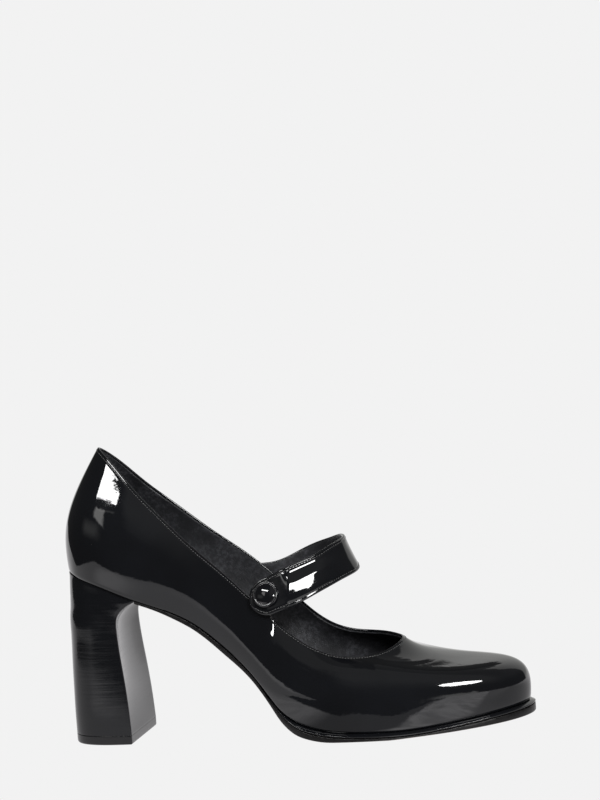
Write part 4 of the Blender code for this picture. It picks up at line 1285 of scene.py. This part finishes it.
# Painted pools of light on the table by the quarter, the toe and the ball.
quarter_light_pool = ranged(tree, away(-0.15, -0.24), 0.04, 0.14, 0.45, 0.0)
toe_light_pool = times(ranged(tree, toe_side, -0.006, 0.006, 0.0, 1.0),
               ranged(tree, total(y, times(x, 0.7)), 0.078, 0.098, 1.0, 0.0),
               ranged(tree, crease_shading, 0.35, 0.65, 0.35, 1.0))
ball_light_pool = times(window(x, 0.03, 0.085, 0.015), ranged(tree, y, -0.14, -0.11, 0.0, 1.0), front_side,
                ranged(tree, crease_shading, 0.3, 0.7, 0.5, 1.0))
# Painted shade on the table beyond the toe, and painted light behind the shoe.
shade_beyond_toe = times(ranged(tree, x, 0.2, 0.25, 0.0, 1.0), ranged(tree, y, -0.1, -0.03, 0.0, 1.0))
behind = ranged(tree, y, 0.03, 0.3, 0.0, 1.0)
level_light = total(0.60, times(in_shade, -0.34), quarter_light_pool, times(toe_light_pool, 0.85), times(ball_light_pool, 0.45),
                    times(shade_beyond_toe, -0.15), times(behind, 0.25))
lit = total(times(on_table, level_light), 0.04)
by_ray(tree, tree.nodes["Material Output"], glow(tree, "Emission", (1.0, 0.985, 1.0), lit),
       glow(tree, "Emission", (1.0, 1.0, 1.0), PALE))
table_mesh = bpy.data.meshes.new("studio_table")
table_z = cad_box[0][2] - TABLE_DROP
table_corners = [(i * TABLE_HALF, j * TABLE_HALF, table_z) for i, j in ((-1, -1), (1, -1), (1, 1), (-1, 1))]
table_mesh.from_pydata(table_corners, [], [(0, 1, 2, 3)])
table_mesh.materials.append(table_finish)
studio_table = bpy.data.objects.new("studio_table", table_mesh)
bpy.context.scene.collection.objects.link(studio_table)

scene = bpy.context.scene
scene.world = bpy.data.worlds.new("studio")
scene.world.use_nodes = True
tree = scene.world.node_tree
tree.nodes.clear()
place = tree.nodes.new("ShaderNodeTexCoord").outputs["Generated"]
x, y, z = split(tree, place)
# The room by azimuth and elevation, in degrees from the outer side, with edges that waver a little: the sweep
# behind, a leaning screen with a lit top rim, a faint ceiling, a haze on the left and a low card on the right.
drift = math_node(tree, "SUBTRACT", noise(tree, place, 9.0, detail=3.0), 0.5)
azimuth = total(times(math_node(tree, "ARCTAN2", x, times(y, -1.0)), 180.0 / math.pi), times(drift, 6.0))
elevation = total(times(math_node(tree, "ARCSINE", z), 180.0 / math.pi), times(drift, 4.0))
round_the_back = math_node(tree, "SUBTRACT", 1.0, window(azimuth, -143.0, 142.0, 3.0))
turned = total(azimuth, times(ranged(tree, azimuth, -1.0, 1.0, 1.0, 0.0), 360.0))
sweep_top = total(ranged(tree, turned, 166.0, 190.0, 36.0, 0.0),
                  ranged(tree, turned, 195.0, 215.0, 0.0, -6.0), 18.0)
sweep = times(round_the_back,
              ranged(tree, math_node(tree, "SUBTRACT", elevation, sweep_top), -1.5, 1.5, 1.0, 0.0),
              total(times(ranged(tree, elevation, 0.0, 8.0, 1.0, 0.0), 0.3), 0.42))
slope = total(elevation, times(azimuth, 0.5))
screen = times(window(azimuth, -50.0, -29.0, 3.0), ranged(tree, slope, 2.0, 6.0, 0.0, 1.0),
               ranged(tree, elevation, 36.0, 38.0, 1.0, 0.0), 2.0)
top_rim = times(window(azimuth, -49.0, -12.0, 2.0), window(elevation, 35.4, 37.4, 0.7), 0.4)
ceiling = times(ranged(tree, elevation, 10.0, 40.0, 0.0, 1.0), ranged(tree, azimuth, -6.0, 2.0, 0.0, 1.0),
                ranged(tree, azimuth, 60.0, 90.0, 1.0, 0.4), 0.14)
left_haze = times(window(azimuth, -68.0, -38.0, 9.0), window(elevation, 8.0, 20.0, 5.0), 0.32)
low_card = times(window(azimuth, 14.0, 40.0, 4.0), ranged(tree, elevation, 1.5, 3.5, 1.0, 0.0), 0.9)
room = total(sweep, screen, top_rim, ceiling, left_haze, low_card, 0.042)
by_ray(tree, tree.nodes.new("ShaderNodeOutputWorld"), glow(tree, "Background", (1.0, 1.0, 0.98), room),
       glow(tree, "Background", (PALE, PALE, PALE), 1.0))


def panel(name, aim, azimuth, elevation, distance, size, radiance, tilt=0.0, round_shape=False):
    """A soft rectangular or oval light, seen from the aim at an azimuth and elevation like the room's."""
    a, e = math.radians(azimuth), math.radians(elevation)
    way_out = Vector((math.sin(a) * math.cos(e), -math.cos(a) * math.cos(e), math.sin(e)))
    light = bpy.data.lights.new(name, "AREA")
    light.shape = "ELLIPSE" if round_shape else "RECTANGLE"
    light.size, light.size_y = size
    light.energy = radiance * math.pi * size[0] * size[1]
    lamp = bpy.data.objects.new(name, light)
    turn = (-way_out).to_track_quat("-Z", "Y").to_matrix() @ Matrix.Rotation(math.radians(tilt), 3, "Z")
    lamp.matrix_world = Matrix.Translation(Vector(aim) * MM + way_out * distance) @ turn.to_4x4()
    scene.collection.objects.link(lamp)


panel("left_softbox", aim=(10.0, -17.0, 120.0), azimuth=-33.0, elevation=46.4, distance=1.8, size=(1.12, 0.17),
      radiance=24.0)
panel("right_panel", aim=(175.0, -28.0, 25.0), azimuth=32.5, elevation=28.0, distance=1.8, size=(1.1, 0.31),
      radiance=24.0, tilt=20.0, round_shape=True)

# The camera stands a little to the toe's side of square and a little above, turned so that the toe sits high.
VIEW_AZIMUTH = 11.83       # degrees
VIEW_ELEVATION = 8.2
VIEW_ROLL = 4.02
VIEW_DISTANCE = 2.0        # metres
LENS = 186.3
AIMED_AT = (85.0, 0.0, 60.0)
RIGHT_OF_AIM = 12.54       # millimetres from that point to the middle of the view
ABOVE_AIM = 100.2
a, e, turn = (math.radians(x) for x in (VIEW_AZIMUTH, VIEW_ELEVATION, VIEW_ROLL))
ahead = Vector((-math.sin(a) * math.cos(e), math.cos(a) * math.cos(e), -math.sin(e)))
right = Vector((math.cos(a), math.sin(a), 0.0))
up = right.cross(ahead)
right, up = right * math.cos(turn) - up * math.sin(turn), right * math.sin(turn) + up * math.cos(turn)
eye = Vector(AIMED_AT) * MM - ahead * VIEW_DISTANCE
look = (Vector(AIMED_AT) * MM + (right * RIGHT_OF_AIM + up * ABOVE_AIM) * MM - eye).normalized()
side = look.cross(up).normalized()
top = side.cross(look)
camera_data = bpy.data.cameras.new("camera")
camera_data.lens = LENS
camera_data.clip_end = 50.0
camera = bpy.data.objects.new("camera", camera_data)
camera.matrix_world = Matrix.Translation(eye) @ Matrix((side, top, -look)).transposed().to_4x4()
scene.collection.objects.link(camera)
scene.camera = camera
scene.view_settings.view_transform = "Standard"
scene.view_settings.look = "None"
